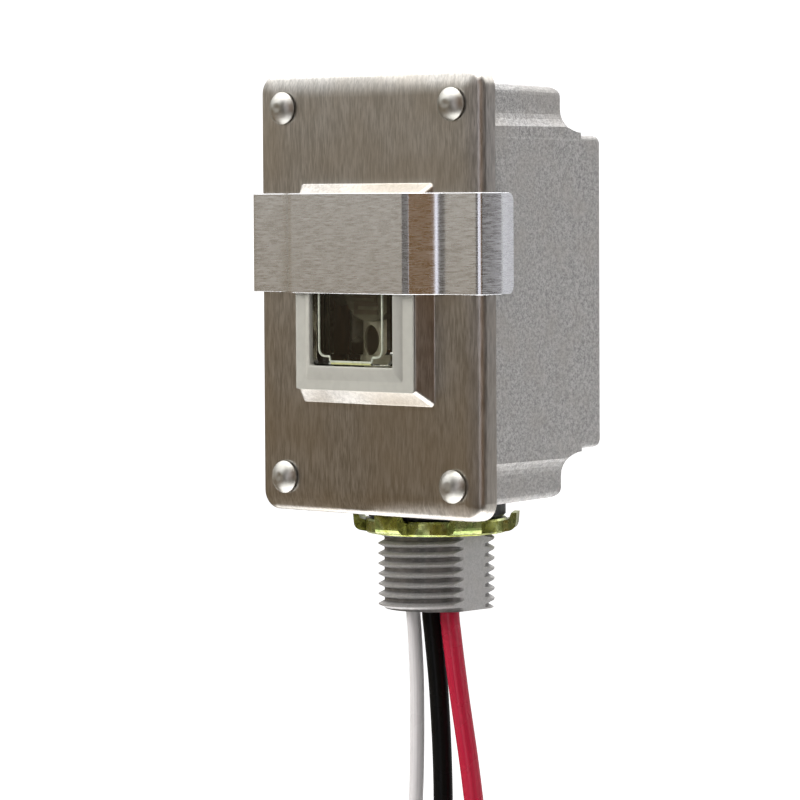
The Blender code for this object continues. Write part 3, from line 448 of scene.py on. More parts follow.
def cover_steel(steel):
    """Stainless sheet brushed upright: short fine streaks, a few wider ones and small pits."""
    s = new_shader("cover_steel")
    fine = s.noise((6200, 6200, 420), 2.0, 0.6)
    broad = s.noise((1900, 1900, 240), 3.0, 0.65)
    cloud = s.noise(60)
    pit = s.noise((2600, 2600, 1500), 1.0)
    streak = fine * 0.5 + broad * 0.5
    shade = s.blend(streak, 0.36, 0.64, scaled(steel, 0.72), scaled(steel, 1.20))
    shade = s.blend(cloud, 0.35, 0.7, shade, scaled(steel, 0.92, 0.84, 0.72), 0.5)
    shade = s.blend(pit, 0.76, 0.84, shade, GREY, 0.35)
    rough = s.spread(streak, 0.3, 0.7, 0.30, 0.40)
    normal = s.bump(streak, 0.012 * MM, 0.55)
    return s.end(s.principled(shade, rough, normal, Metallic=1.0, Anisotropic=0.7))


def slide_steel(steel):
    """Stainless strip brushed along its length; its steel is a lit copy of the cover's, painted
    brighter and bluer to stand in for the brighter reflections on the strip.
    """
    s = new_shader("slide_steel")
    # A lit copy of the steel: the brighter, bluer base colour is painted light, standing in for the
    # strip's brighter reflections.
    steel = scaled(steel, 1.38, 1.45, 1.57)
    fine = s.noise((380, 380, 6200), 2.0, 0.6)
    broad = s.noise((260, 260, 3000), 3.0, 0.65)
    scratch = s.noise((160, 160, 5200), 1.0)
    streak = fine * 0.7 + broad * 0.3
    shade = s.blend(streak, 0.36, 0.64, scaled(steel, 0.88), scaled(steel, 1.08))
    shade = s.blend(scratch, 0.70, 0.80, shade, (0.82, 0.82, 0.82), 0.4)
    rough = s.spread(streak, 0.3, 0.7, 0.24, 0.32)
    normal = s.bump(streak, 0.010 * MM, 0.5)
    return s.end(s.principled(shade, rough, normal, Metallic=1.0, Anisotropic=0.55,
                              Anisotropic_Rotation=0.25))


def cast_metal(casting):
    """Blasted die casting: a tight, low grain, smoother on the nipple, with painted shade darkening its
    thread roots.
    """
    s = new_shader("cast_metal")
    x, y, height = s.axes(s.position())
    radius = x.maths("SQRT", x * x + y * y)
    grain = s.noise(3400, 3.0, 0.65)
    second = s.noise(1500)
    cloud = s.noise(120, 3.0, 0.6)
    spark = s.noise(4600, 1.0)
    nipple = s.spread(height, 0.2 * MM, -0.4 * MM)
    # root masks a painted shade: the nipple's thread roots, between the crests, where shadow falls.
    root = s.spread(radius, 9.9 * MM, 9.1 * MM) * nipple * s.spread(abs(x), 8.8 * MM, 8.5 * MM)
    mixed = grain * 0.6 + second * 0.4
    shade = s.blend(mixed, 0.36, 0.64, scaled(casting, 0.60), scaled(casting, 1.32))
    shade = s.mix(0.1 + nipple * 0.6, shade, casting)
    # The painted shade goes on here, turning the thread roots nearly black.
    shade = s.mix(root * 0.85, shade, scaled(casting, 0.16))
    shade = s.blend(cloud, 0.4, 0.7, shade, scaled(casting, 0.98, 0.94, 0.90), 0.5)
    shade = s.blend(spark, 0.68, 0.78, shade, (0.72, 0.72, 0.72), 0.35)
    rough = s.spread(mixed, 0.35, 0.65, 0.60, 0.46)
    normal = s.bump(mixed * (1 - nipple * 0.6), 0.16 * MM, 0.6)
    return s.end(s.principled(shade, rough, normal, Metallic=0.7))


def rivet_metal():
    """Bright rivet with faint marks from its setting tool."""
    s = new_shader("rivet_metal")
    dent = s.noise(420)
    fine = s.noise(3200)
    shade = s.blend(dent, 0.3, 0.7, (0.42, 0.41, 0.37), (0.56, 0.55, 0.52))
    rough = s.spread(dent, 0.3, 0.7, 0.36, 0.48)
    normal = s.bump(dent, 0.12 * MM, 0.5, s.bump(fine, 0.015 * MM, 0.5))
    return s.end(s.principled(shade, rough, normal, Metallic=1.0))


def yellow_zinc(chromate):
    """Zinc plate with a yellow-green chromate that drifts in tint."""
    s = new_shader("yellow_zinc")
    drift = s.noise(190, 3.0, 0.6)
    blot = s.noise(900, 3.0, 0.6)
    stops = ((0.0, (0.09, 0.10, 0.012)), (0.45, chromate), (0.75, (0.46, 0.50, 0.19)),
             (1.0, (0.28, 0.37, 0.11)))
    shade = s.node("ShaderNodeValToRGB", {"stops": stops}, {0: s.spread(drift, 0.3, 0.7)})
    shade = s.blend(blot, 0.50, 0.70, shade, (0.10, 0.10, 0.02), 0.6)
    rough = s.spread(blot, 0.3, 0.7, 0.20, 0.40)
    normal = s.bump(blot, 0.03 * MM, 0.6)
    return s.end(s.principled(shade, rough, normal, Metallic=0.80))


def dull_finish(name, dark, light, scale, rough, depth, metallic=0.0, stretch=(1, 1, 1)):
    """A plain moulded or turned surface: two close shades, a fine grain and worn gloss."""
    s = new_shader(name)
    grain = s.noise(tuple(scale * part for part in stretch), 3.0)
    cloud = s.noise(70)
    shade = s.blend(grain * 0.6 + cloud * 0.4, 0.38, 0.62, dark, light)
    worn = s.spread(cloud, 0.3, 0.7, rough * 0.85, rough * 1.15)
    normal = s.bump(grain, depth, 0.5)
    return s.end(s.principled(shade, worn, normal, Metallic=metallic))


def clear_plastic():
    """Clear moulding; light that only casts shadow passes straight through."""
    s = new_shader("clear_plastic")
    haze = s.noise(300)
    rough = s.spread(haze, 0.3, 0.7, 0.02, 0.06)
    normal = s.bump(haze, 0.004 * MM, 0.3)
    clear = s.principled((0.92, 0.94, 0.84), rough, normal, IOR=1.4, Transmission_Weight=1.0)
    through = s.node("ShaderNodeBsdfTransparent", None, {"Color": (0.78, 0.78, 0.74, 1)})
    shadow = s.node("ShaderNodeLightPath", output=1)
    return s.end(s.either(shadow, clear, through))


def insulation(name, tone, rough, sheen):
    """Drawn plastic insulation with faint lines along the lead."""
    s = new_shader(name)
    along = s.node("ShaderNodeUVMap", {"uv_map": "lead"})
    lines = s.noise((60, 30, 1), vector=along)
    cloud = s.noise(120)
    shade = s.blend(lines, 0.3, 0.7, scaled(tone, 0.88), scaled(tone, 1.08))
    worn = s.spread(cloud, 0.3, 0.7, rough * 0.8, rough * 1.3)
    normal = s.bump(lines, 0.02 * MM, 0.4)
    return s.end(s.principled(shade, worn, normal, Specular_IOR_Level=sheen))


def frosted(name, tone, rough):
    """Moulding with a dull face, as a rib or a ledge of the window has."""
    s = new_shader(name)
    haze = s.noise(900, 3.0, 0.6)
    shade = s.blend(haze, 0.3, 0.7, scaled(tone, 0.84), scaled(tone, 1.1))
    worn = s.spread(haze, 0.3, 0.7, rough, rough * 1.4)
    return s.end(s.principled(shade, worn, s.bump(haze, 0.01 * MM, 0.5)))


def place(x, y, z):
    """A point given in millimetres from the middle of the cover's front face."""
    return Vector((x * MM, y * MM + COVER_FRONT, z * MM + COVER_MIDDLE))


def put(name, data):
    """A new object in the scene."""
    obj = bpy.data.objects.new(name, data)
    bpy.context.scene.collection.objects.link(obj)
    return obj


def as_mesh(name, bm):
    mesh = bpy.data.meshes.new(name)
    bm.to_mesh(mesh)
    bm.free()
    return mesh


def new_piece(name, mesh, material=None, body="root"):
    """A finished mesh as a piece that rides on a body; it may bring its own material."""
    mesh.name = name
    piece = put(name, mesh)
    if material is not None:
        mesh.materials.clear()
        mesh.materials.append(material)
    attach(piece, body)
    return piece


def applied(host):
    """The host's mesh as its modifier leaves it; the host is removed."""
    bpy.context.view_layer.update()
    evaluated = host.evaluated_get(bpy.context.evaluated_depsgraph_get())
    mesh = bpy.data.meshes.new_from_object(evaluated)
    bpy.data.objects.remove(host)
    return mesh


def sharp_edges(bm, degrees):
    """Smooth faces, with a hard edge where two of them meet at more than the angle."""
    limit = math.radians(degrees)
    for face in bm.faces:
        face.smooth = True
    for edge in bm.edges:
        edge.smooth = len(edge.link_faces) == 2 and edge.calc_face_angle(0) < limit


def plain_mesh(name, bm, degrees=40):
    """A mesh whose faces point out, with hard edges above an angle."""
    bmesh.ops.recalc_face_normals(bm, faces=bm.faces)
    if bm.calc_volume(signed=True) < 0:
        bmesh.ops.reverse_faces(bm, faces=bm.faces)
    sharp_edges(bm, degrees)
    return as_mesh(name, bm)


def circle(sides):
    """Cosine and sine of each corner of a round section."""
    return [(math.cos(TURN * k / sides), math.sin(TURN * k / sides)) for k in range(sides)]


def skin(bm, rings, loop=False, closed=True):
    """Joins rings of as many points each, or open rows of them where closed is false; loop also
    joins the last to the first."""
    rows = [[bm.verts.new(point) for point in ring] for ring in rings]
    pairs = list(zip(rows, rows[1:]))
    if loop:
        pairs.append((rows[-1], rows[0]))
    for low, high in pairs:
        for i in range(len(low) if closed else len(low) - 1):
            j = (i + 1) % len(low)
            bm.faces.new((low[i], low[j], high[j], high[i]))
    return rows


def lathe_y(profile, sides):
    """Turns a profile of (radius, y) about the Y axis, closed at the poles."""
    bm = bmesh.new()
    rows = []
    for radius, y in profile:
        round_about = circle(sides) if radius > 0 else [(0, 0)]
        rows.append([bm.verts.new((radius * c, y, radius * s)) for c, s in round_about])
    for low, high in zip(rows, rows[1:]):
        for k in range(sides):
            j = (k + 1) % sides
            if len(low) == 1:
                bm.faces.new((low[0], high[k], high[j]))
            elif len(high) == 1:
                bm.faces.new((low[k], low[j], high[0]))
            else:
                bm.faces.new((low[k], low[j], high[j], high[k]))
    bmesh.ops.recalc_face_normals(bm, faces=bm.faces)
    return bm


def rounded_rectangle(half_x, half_z, corner, steps=8):
    """Outline of (x, z) points round a rectangle's middle."""
    points = []
    for quarter, (sx, sz) in enumerate(((1, 1), (-1, 1), (-1, -1), (1, -1))):
        for i in range(steps + 1):
            angle = QUARTER * (quarter + i / steps)
            points.append((sx * (half_x - corner) + corner * math.cos(angle),
                           sz * (half_z - corner) + corner * math.sin(angle)))
    return points


def rounded_path(corners, radii, steps=8):
    """An open path of flat points with each inner corner rounded by its own radius."""
    points = [Vector(corners[0])]
    for before, corner, after, radius in zip(corners, corners[1:], corners[2:], radii):
        corner = Vector(corner)
        towards = (Vector(before) - corner).normalized()
        onwards = (Vector(after) - corner).normalized()
        half = towards.angle(onwards) / 2
        centre = corner + (towards + onwards).normalized() * radius / math.sin(half)
        first = corner + towards * radius / math.tan(half) - centre
        turn = first.angle_signed(corner + onwards * radius / math.tan(half) - centre)
        points += [centre + Matrix.Rotation(-turn * i / steps, 2) @ first for i in range(steps + 1)]
    points.append(Vector(corners[-1]))
    return points


def offset_path(points, distance, closed=False):
    """The path moved to its own left, by as much round corners as along straights."""
    last = len(points) - 1
    moved = []
    for i, point in enumerate(points):
        before = points[i - 1] if i or closed else 2 * point - points[1]
        after = points[(i + 1) % len(points)] if i < last or closed else 2 * point - points[-2]
        come = (point - before).normalized()
        leave = (after - point).normalized()
        left = Vector((-come.y - leave.y, come.x + leave.x)).normalized()
        moved.append(point + left * distance / left.dot(Vector((-come.y, come.x))))
    return moved


def smooth_curve(points, step):
    """Points at an even step on a smooth curve through the given ones."""
    ends = [2 * points[0] - points[1]] + points + [2 * points[-1] - points[-2]]
    pieces = 24
    fine = []
    for p0, p1, p2, p3 in zip(ends, ends[1:], ends[2:], ends[3:]):
        bow = 2 * p0 - 5 * p1 + 4 * p2 - p3
        swing = 3 * p1 - p0 - 3 * p2 + p3
        for i in range(pieces):
            t = i / pieces
            fine.append(0.5 * (2 * p1 + (p2 - p0) * t + bow * t * t + swing * t ** 3))
    fine.append(points[-1])
    lengths = [0.0]
    for a, b in zip(fine, fine[1:]):
        lengths.append(lengths[-1] + (b - a).length)
    count = max(int(lengths[-1] / step), 2)
    evened = []
    spot = 0
    for i in range(count + 1):
        wanted = lengths[-1] * i / count
        while spot < len(lengths) - 2 and lengths[spot + 1] < wanted:
            spot += 1
        share = (wanted - lengths[spot]) / (lengths[spot + 1] - lengths[spot])
        evened.append(fine[spot].lerp(fine[spot + 1], share))
    return evened


def lead_line(mouth, free):
    """A lead's middle line, from its terminal through the nipple to the end of its insulation."""
    route = [place(*mouth, z) for z in INSIDE_HEIGHTS]
    route += [place(x, y, z) for z, x, y in free]
    return smooth_curve(route, LEAD_STEP)


def insulated_tube(points, radius, bore, sides):
    """A round tube along the points whose cut end shows its bore."""
    sections = []
    side = Vector((1, 0, 0))
    for i, point in enumerate(points):
        ahead = (points[min(i + 1, len(points) - 1)] - points[max(i - 1, 0)]).normalized()
        side = (side - ahead * side.dot(ahead)).normalized()
        sections.append((point, radius, side, ahead.cross(side), i * LEAD_STEP))
    point, _, *rest = sections.pop()
    back = (points[-2] - points[-1]).normalized()
    soft, depth = 0.06 * MM, 1.5 * MM
    for inward, reach in ((soft, radius), (0, radius - soft), (0, bore), (depth, bore)):
        sections.append((point + back * inward, reach, *rest))
    bm = bmesh.new()
    uv = bm.loops.layers.uv.new("lead")
    rows = skin(bm, [[point + reach * (side * c + other * s) for c, s in circle(sides)]
                     for point, reach, side, other, _ in sections])
    for number, face in enumerate(bm.faces):
        row, k = divmod(number, sides)
        for loop, (across, along) in zip(face.loops, ((0, 0), (1, 0), (1, 1), (0, 1))):
            loop[uv].uv = ((k + across) / sides, sections[row + along][-1])
    bm.faces.new(rows[0][::-1])
    bm.faces.new(rows[-1])
    return plain_mesh("lead", bm, 50)


def cover_profile(settings, half, seat_half, run):
    """The cover's outer face from its skirt's edge to the opening, as (distance in, depth)."""
    skirt = COVER_HIGH.y - COVER_FRONT
    rise = COVER_LOW.y - COVER_FRONT
    bend, flat = settings.bend, settings.shoulder
    bend_steps, fall_steps = 14, 8
    start = bend * (1 - math.sin(settings.fall))
    low = math.tan(settings.fall) * (flat - start) / 2
    centre = low + bend * math.cos(settings.fall)
    points = [Vector((0, skirt - SOFT))]
    for i in range(bend_steps + 1):
        angle = (QUARTER - settings.fall) * i / bend_steps
        points.append(Vector((bend - bend * math.cos(angle), centre - bend * math.sin(angle))))
    for i in range(1, fall_steps + 1):
        inset = start + (flat - start) * i / fall_steps
        points.append(Vector((inset, low * ((flat - inset) / (flat - start)) ** 2)))
    points.append(Vector((flat + 0.2 * MM, 0)))
    foot = half - seat_half
    top = foot + run
    seat = [(foot - 1.2 * MM, 0), (foot, 0), (top, rise), (top + settings.lip, rise)]
    return points + rounded_path(seat, [0.35 * MM, 0.35 * MM], 5)


def cover_mesh(settings):
    """One drawn sheet: skirt, bend, soft shoulder, flat, raised seat and opening."""
    half_x = COVER_HIGH.x
    half_z = (COVER_HIGH.z - COVER_LOW.z) / 2
    side = cover_profile(settings, half_x, settings.seat_width / 2, settings.slope_side)
    end = cover_profile(settings, half_z, settings.seat_height / 2, settings.slope_end)
    skirt = COVER_HIGH.y - COVER_FRONT
    edge = [Vector((settings.sheet - SOFT, skirt)), Vector((SOFT, skirt))]
    side += offset_path(side, settings.sheet)[::-1] + edge
    end += offset_path(end, settings.sheet)[::-1] + edge
    rings = []
    for across, up in zip(side, end):
        corner = max(settings.corner - across.x, settings.seat_corner)
        outline = rounded_rectangle(half_x - across.x, half_z - up.x, corner)
        rings.append([(x, across.y + COVER_FRONT, z + COVER_MIDDLE) for x, z in outline])
    bm = bmesh.new()
    skin(bm, rings, loop=True)
    return plain_mesh("cover_drawn", bm)


def drilled(mesh, spots, width):
    """The mesh with round holes from front to back at the given (x, z) spots."""
    half, reach = width / 2, 3 * MM
    drills = bmesh.new()
    for x, z in spots:
        bm = lathe_y([(0, -reach), (half, -reach), (half, reach), (0, reach)], 40)
        bmesh.ops.translate(bm, verts=bm.verts, vec=(x, COVER_FRONT, z))
        drills.from_mesh(as_mesh("drill", bm))
    tool = put("drills", as_mesh("drills", drills))
    host = put("sheet", mesh)
    cut = host.modifiers.new("holes", "BOOLEAN")
    cut.operation = "DIFFERENCE"
    cut.solver = "EXACT"
    cut.object = tool
    bm = bmesh.new()
    bm.from_mesh(applied(host))
    bpy.data.objects.remove(tool)
    open_edges = [edge for edge in bm.edges if len(edge.link_faces) != 2]
    if open_edges:
        raise RuntimeError(f"the drilled sheet has {len(open_edges)} open edges")
    sharp_edges(bm, 40)
    return as_mesh("cover_drawn", bm)


def frame_mesh(settings):
    """The frame: a flat rim that slopes up to a rounded ridge round the opening."""
    outer_x = FRAME_HIGH.x
    outer_z = (FRAME_HIGH.z - FRAME_LOW.z) / 2
    rim_x, rim_z = outer_x - settings.rim_side, outer_z - settings.rim_end
    open_x, open_z = rim_x - settings.bevel_side, rim_z - settings.bevel_end
    back, ridge = FRAME_HIGH.y, FRAME_LOW.y
    rim = back - settings.thick
    round_off, round_steps, corner = 0.22 * MM, 4, 0.45 * MM
    steps = [(outer_x, outer_z, back), (outer_x, outer_z, rim + SOFT),
             (outer_x - SOFT, outer_z - SOFT, rim), (rim_x, rim_z, rim)]
    for share in (0.15, 0.5, 0.85):
        steps.append((rim_x - settings.bevel_side * share, rim_z - settings.bevel_end * share,
                      rim + (ridge - rim) * math.sin(QUARTER * share) ** 0.9))
    for i in range(round_steps + 1):
        angle = QUARTER * i / round_steps
        inward = round_off * (1 - math.sin(angle))
        steps.append((open_x + inward, open_z + inward, ridge + round_off * (1 - math.cos(angle))))
    steps.append((open_x, open_z, back))
    rings = [[(x, y, z + COVER_MIDDLE) for x, z in rounded_rectangle(half_x, half_z, corner, 5)]
             for half_x, half_z, y in steps]
    bm = bmesh.new()
    skin(bm, rings, loop=True)
    return plain_mesh("frame_drawn", bm, 25)


def slide_path(settings):
    """The strip's outer face from the left hook's end to the right one's, as (x, y)."""
    outer, end = SLIDE_LOW.y, SLIDE_HIGH.y
    side, hook = SLIDE_HIGH.x, HOUSING_SIDE + GAP + settings.sheet
    wing = COVER_FRONT - GAP - settings.sheet
    flat = settings.flat / 2
    facet, fold = settings.facet, settings.fold
    folded = side - 0.15 * MM
    corners = [(0, outer), (flat - facet / 2, outer), (flat + facet / 2, outer + 0.36 * facet),
               (flat + settings.slope, wing), (folded - fold, wing), (folded, wing + 0.6 * fold),
               (side, COVER_HIGH.y + 0.6 * MM), (hook, end - settings.hook),
               (hook - settings.lean, end)]
    radii = [0.5 * MM, 0.25 * MM, settings.bend, 1.5 * MM, 0.45 * MM, 0.9 * MM, 0.9 * MM]
    half = rounded_path(corners, radii)
    back = (half[-2] - half[-1]).normalized()
    steps = 7
    tips = [half[-1] + back * settings.tip * math.sin(QUARTER * (1 - i / steps))
            for i in range(steps + 1)]
    half = half[:-1] + tips
    return [Vector((-p.x, p.y)) for p in half[:0:-1]] + half


def slide_mesh(settings):
    """The strip with its thickness, rubbed edges and rounded free corners."""
    path = slide_path(settings)
    sheet, edge, tip = settings.sheet, settings.edge, settings.tip
    rises = []
    for point in path:
        left = max(tip - (path[-1].y - point.y), 0)
        rises.append(tip - math.sqrt(max(tip * tip - left * left, 0)))
    full = (path, offset_path(path, sheet))
    rubbed = (offset_path(path, edge), offset_path(path, sheet - edge))
    rings = []
    for (outer, inner), start, way, step in (
        (rubbed, SLIDE_LOW.z, 1, 0), (full, SLIDE_LOW.z, 1, edge),
        (full, SLIDE_HIGH.z, -1, edge), (rubbed, SLIDE_HIGH.z, -1, 0),
    ):
        heights = [start + way * (rise + step) for rise in rises]
        faces = [[(p.x, p.y, z) for p, z in zip(line, heights)] for line in (outer, inner)]
        rings.append(faces[0] + faces[1][::-1])
    bm = bmesh.new()
    rows = skin(bm, rings)
    count = len(path)
    for row in (rows[0], rows[-1]):
        for i in range(count - 1):
            bm.faces.new((row[i], row[i + 1], row[2 * count - 2 - i], row[2 * count - 1 - i]))
    return plain_mesh("slide_drawn", bm, 32)


def rib_mesh(name, path, width, stand, closed):
    """A low rib on the window's front, along a path of flat (x, z) points."""
    base = LENS_FRONT + 0.05 * MM
    lines = [(offset_path(path, width / 2 * share, closed), base - height)
             for share, height in ((1, 0), (0.55, stand), (-0.55, stand), (-1, 0))]
    rings = [[(line[i].x, y, line[i].y) for line, y in lines] for i in range(len(path))]
    bm = bmesh.new()
    rows = skin(bm, rings, loop=closed)
    if not closed:
        bm.faces.new(rows[0])
        bm.faces.new(rows[-1][::-1])
    return plain_mesh(name, bm, 30)


def rivet_mesh(settings):
    """One rivet: a dome with a soft rim, slightly flattened by its setting tool."""
    head, rise, shank = settings.width / 2, settings.rise, settings.shank / 2
    radius = (head * head + rise * rise) / (2 * rise)
    dimple, sunk, rim, steps = 1.0 * MM, 0.16 * MM, 0.05 * MM, 18
    profile = [(0.0, sunk - rise - GAP)]
    for i in range(1, steps + 1):
        angle = math.asin(head / radius) * i / steps
        reach = radius * math.sin(angle)
        dip = sunk * max(1 - (reach / dimple) ** 2, 0) ** 2
        profile.append((reach, radius - rise - radius * math.cos(angle) - GAP + dip))
    profile[-1] = (head, -GAP - sunk)
    profile += [(head - rim, -GAP), (shank, -GAP), (shank, settings.depth), (0.0, settings.depth)]
    bm = lathe_y(profile, 56)
    for vert in bm.verts:
        if vert.co.y < -2 * GAP:
            dent = noise.noise(Vector((vert.co.x, vert.co.z, 0)) * 420)
            vert.co.y += 0.09 * MM * max(dent, -0.2)
    return plain_mesh("rivet", bm)


class Growth(Tree):
    """A Geometry Nodes tree with its named inputs, and the calls that fill it."""

    def __init__(self, name, **inputs):
        self.tree = bpy.data.node_groups.new(name, "GeometryNodeTree")
        face = self.tree.interface
        face.new_socket(name="Geometry", in_out="OUTPUT", socket_type="NodeSocketGeometry")
        for label, kind in {**inputs, "Finish": "Material"}.items():
            face.new_socket(name=label, in_out="INPUT", socket_type=f"NodeSocket{kind}")
        start = self.tree.nodes.new("NodeGroupInput")
        self.given = {output.name: Wire(self.tree, output) for output in start.outputs}

    def vector(self, **parts):
        """A vector of X, Y and Z, where one that isn't given is 0."""
        return self.node("ShaderNodeCombineXYZ", None, parts)

    def copies(self, points, instance, **more):
        """The instance laid on each point."""
        sockets = {"Points": points, "Instance": instance, **more}
        return self.node("GeometryNodeInstanceOnPoints", None, sockets)

    def real(self, geometry):
        return self.node("GeometryNodeRealizeInstances", None, {0: geometry})

    def end(self, geometry):
        """Realizes what is left to realize, sets the finish and gives back the tree."""
        painted = self.node("GeometryNodeSetMaterial", None,
                            {"Geometry": self.real(geometry), "Material": self.given["Finish"]})
        self.tree.links.new(painted.socket, self.tree.nodes.new("NodeGroupOutput").inputs[0])
        return self.tree


def grow(tree, values):
    """Runs a Geometry Nodes tree on an empty mesh and gives back the result as a plain mesh."""
    host = put("host", bpy.data.meshes.new("host"))
    modifier = host.modifiers.new("nodes", "NODES")
    modifier.node_group = tree
    for item in tree.interface.items_tree:
        if item.in_out == "INPUT":
            modifier[item.identifier] = values[item.name]
    mesh = applied(host)
    if not mesh.polygons:
        raise RuntimeError(f"the tree {tree.name} made no faces")
    return mesh


def strand_tree():
    """One ring of copper strands laid round an axis, each a twisted round wire."""
    g = Growth("copper_strands", Strands="Int", Ring="Float", Radius="Float", Length="Float",
               Twist="Float")
    line = g.node("GeometryNodeCurvePrimitiveLine", None, {"End": g.vector(Z=g.given["Length"])})
    fine = g.node("GeometryNodeResampleCurve", None, {"Curve": line, "Count": 20})
    ring = g.node("GeometryNodeMeshCircle", None,
                  {"Vertices": g.given["Strands"], "Radius": g.given["Ring"]})
    real = g.real(g.copies(ring, fine))
    where = g.node("GeometryNodeInputPosition")
    height = g.node("ShaderNodeSeparateXYZ", None, {0: where}, 2)
    turned = g.node("ShaderNodeVectorRotate", {"rotation_type": "Z_AXIS"}, {
        "Vector": where, "Angle": height * g.given["Twist"]})
    moved = g.node("GeometryNodeSetPosition", None, {"Geometry": real, "Position": turned})
    section = g.node("GeometryNodeCurvePrimitiveCircle", None,
                     {"Resolution": 8, "Radius": g.given["Radius"]})
    return g.end(g.node("GeometryNodeCurveToMesh", None, {
        "Curve": moved, "Profile Curve": section, "Fill Caps": True}))


def rivet_tree():
    """Four rivets at the corners of the cover, each turned a little by chance."""
    g = Growth("cover_rivets", Rivet="Object", Across="Float", Upright="Float", Seed="Int")
    grid = g.node("GeometryNodeMeshGrid", None, {
        "Size X": g.given["Across"], "Size Y": g.given["Upright"], "Vertices X": 2, "Vertices Y": 2})
    upright = g.node("GeometryNodeTransform", None, {
        "Geometry": grid, "Rotation": (QUARTER, 0, 0), "Translation": (0, COVER_FRONT, COVER_MIDDLE)})
    one = g.node("GeometryNodeObjectInfo", None, {"Object": g.given["Rivet"]}, "Geometry")
    turn = g.node("FunctionNodeRandomValue", {"data_type": "FLOAT"},
                  {"Min": 0.0, "Max": 6.28, "Seed": g.given["Seed"]}, 1)
    return g.end(g.copies(upright, one, Rotation=g.vector(Y=turn)))


def track_tree():
    """A folded track: level bars one above the other, joined at their left and right ends by turns."""
    g = Growth("cell_track", Bars="Int", Pitch="Float", Bar="Float", Reach="Float",
               Thickness="Float", Place="Vector")
    bars, pitch, bar, reach = [g.given[name] for name in ("Bars", "Pitch", "Bar", "Reach")]
    joins = bars - 1
    lowest = joins * pitch * -0.5
    both = g.tree.nodes.new("GeometryNodeJoinGeometry")
    for joined, count, first, width, height in (
        (False, bars, lowest, reach, bar),
        (True, joins, lowest + pitch * 0.5, bar, pitch - bar),
    ):
        points = g.node("GeometryNodeMeshLine", {"mode": "OFFSET"}, {
            "Count": count, "Start Location": g.vector(Z=first), "Offset": g.vector(Z=pitch)})
        size = g.vector(X=width, Y=g.given["Thickness"], Z=height)
        if joined:
            across = (g.node("GeometryNodeInputIndex") % 2 - 0.5) * (reach - bar)
            points = g.node("GeometryNodeSetPosition", None,
                            {"Geometry": points, "Offset": g.vector(X=across)})
        laid = g.copies(points, g.node("GeometryNodeMeshCube", None, {"Size": size}))
        g.tree.links.new(laid.socket, both.inputs[0])
    return g.end(g.node("GeometryNodeTransform", None, {
        "Geometry": Wire(g.tree, both.outputs[0]), "Translation": g.given["Place"]}))


def bearing(x, y):
    """Degrees round the switch, 0 in front of it and more towards its right."""
    return x.maths("ARCTAN2", x, 0 - y) * (180 / math.pi)


def set_stage(name, bm, material):
    """A floor or wall that isn't part of the switch."""
    mesh = as_mesh(name, bm)
    mesh.materials.append(material)
    piece = put(name, mesh)
    piece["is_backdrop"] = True
    return piece


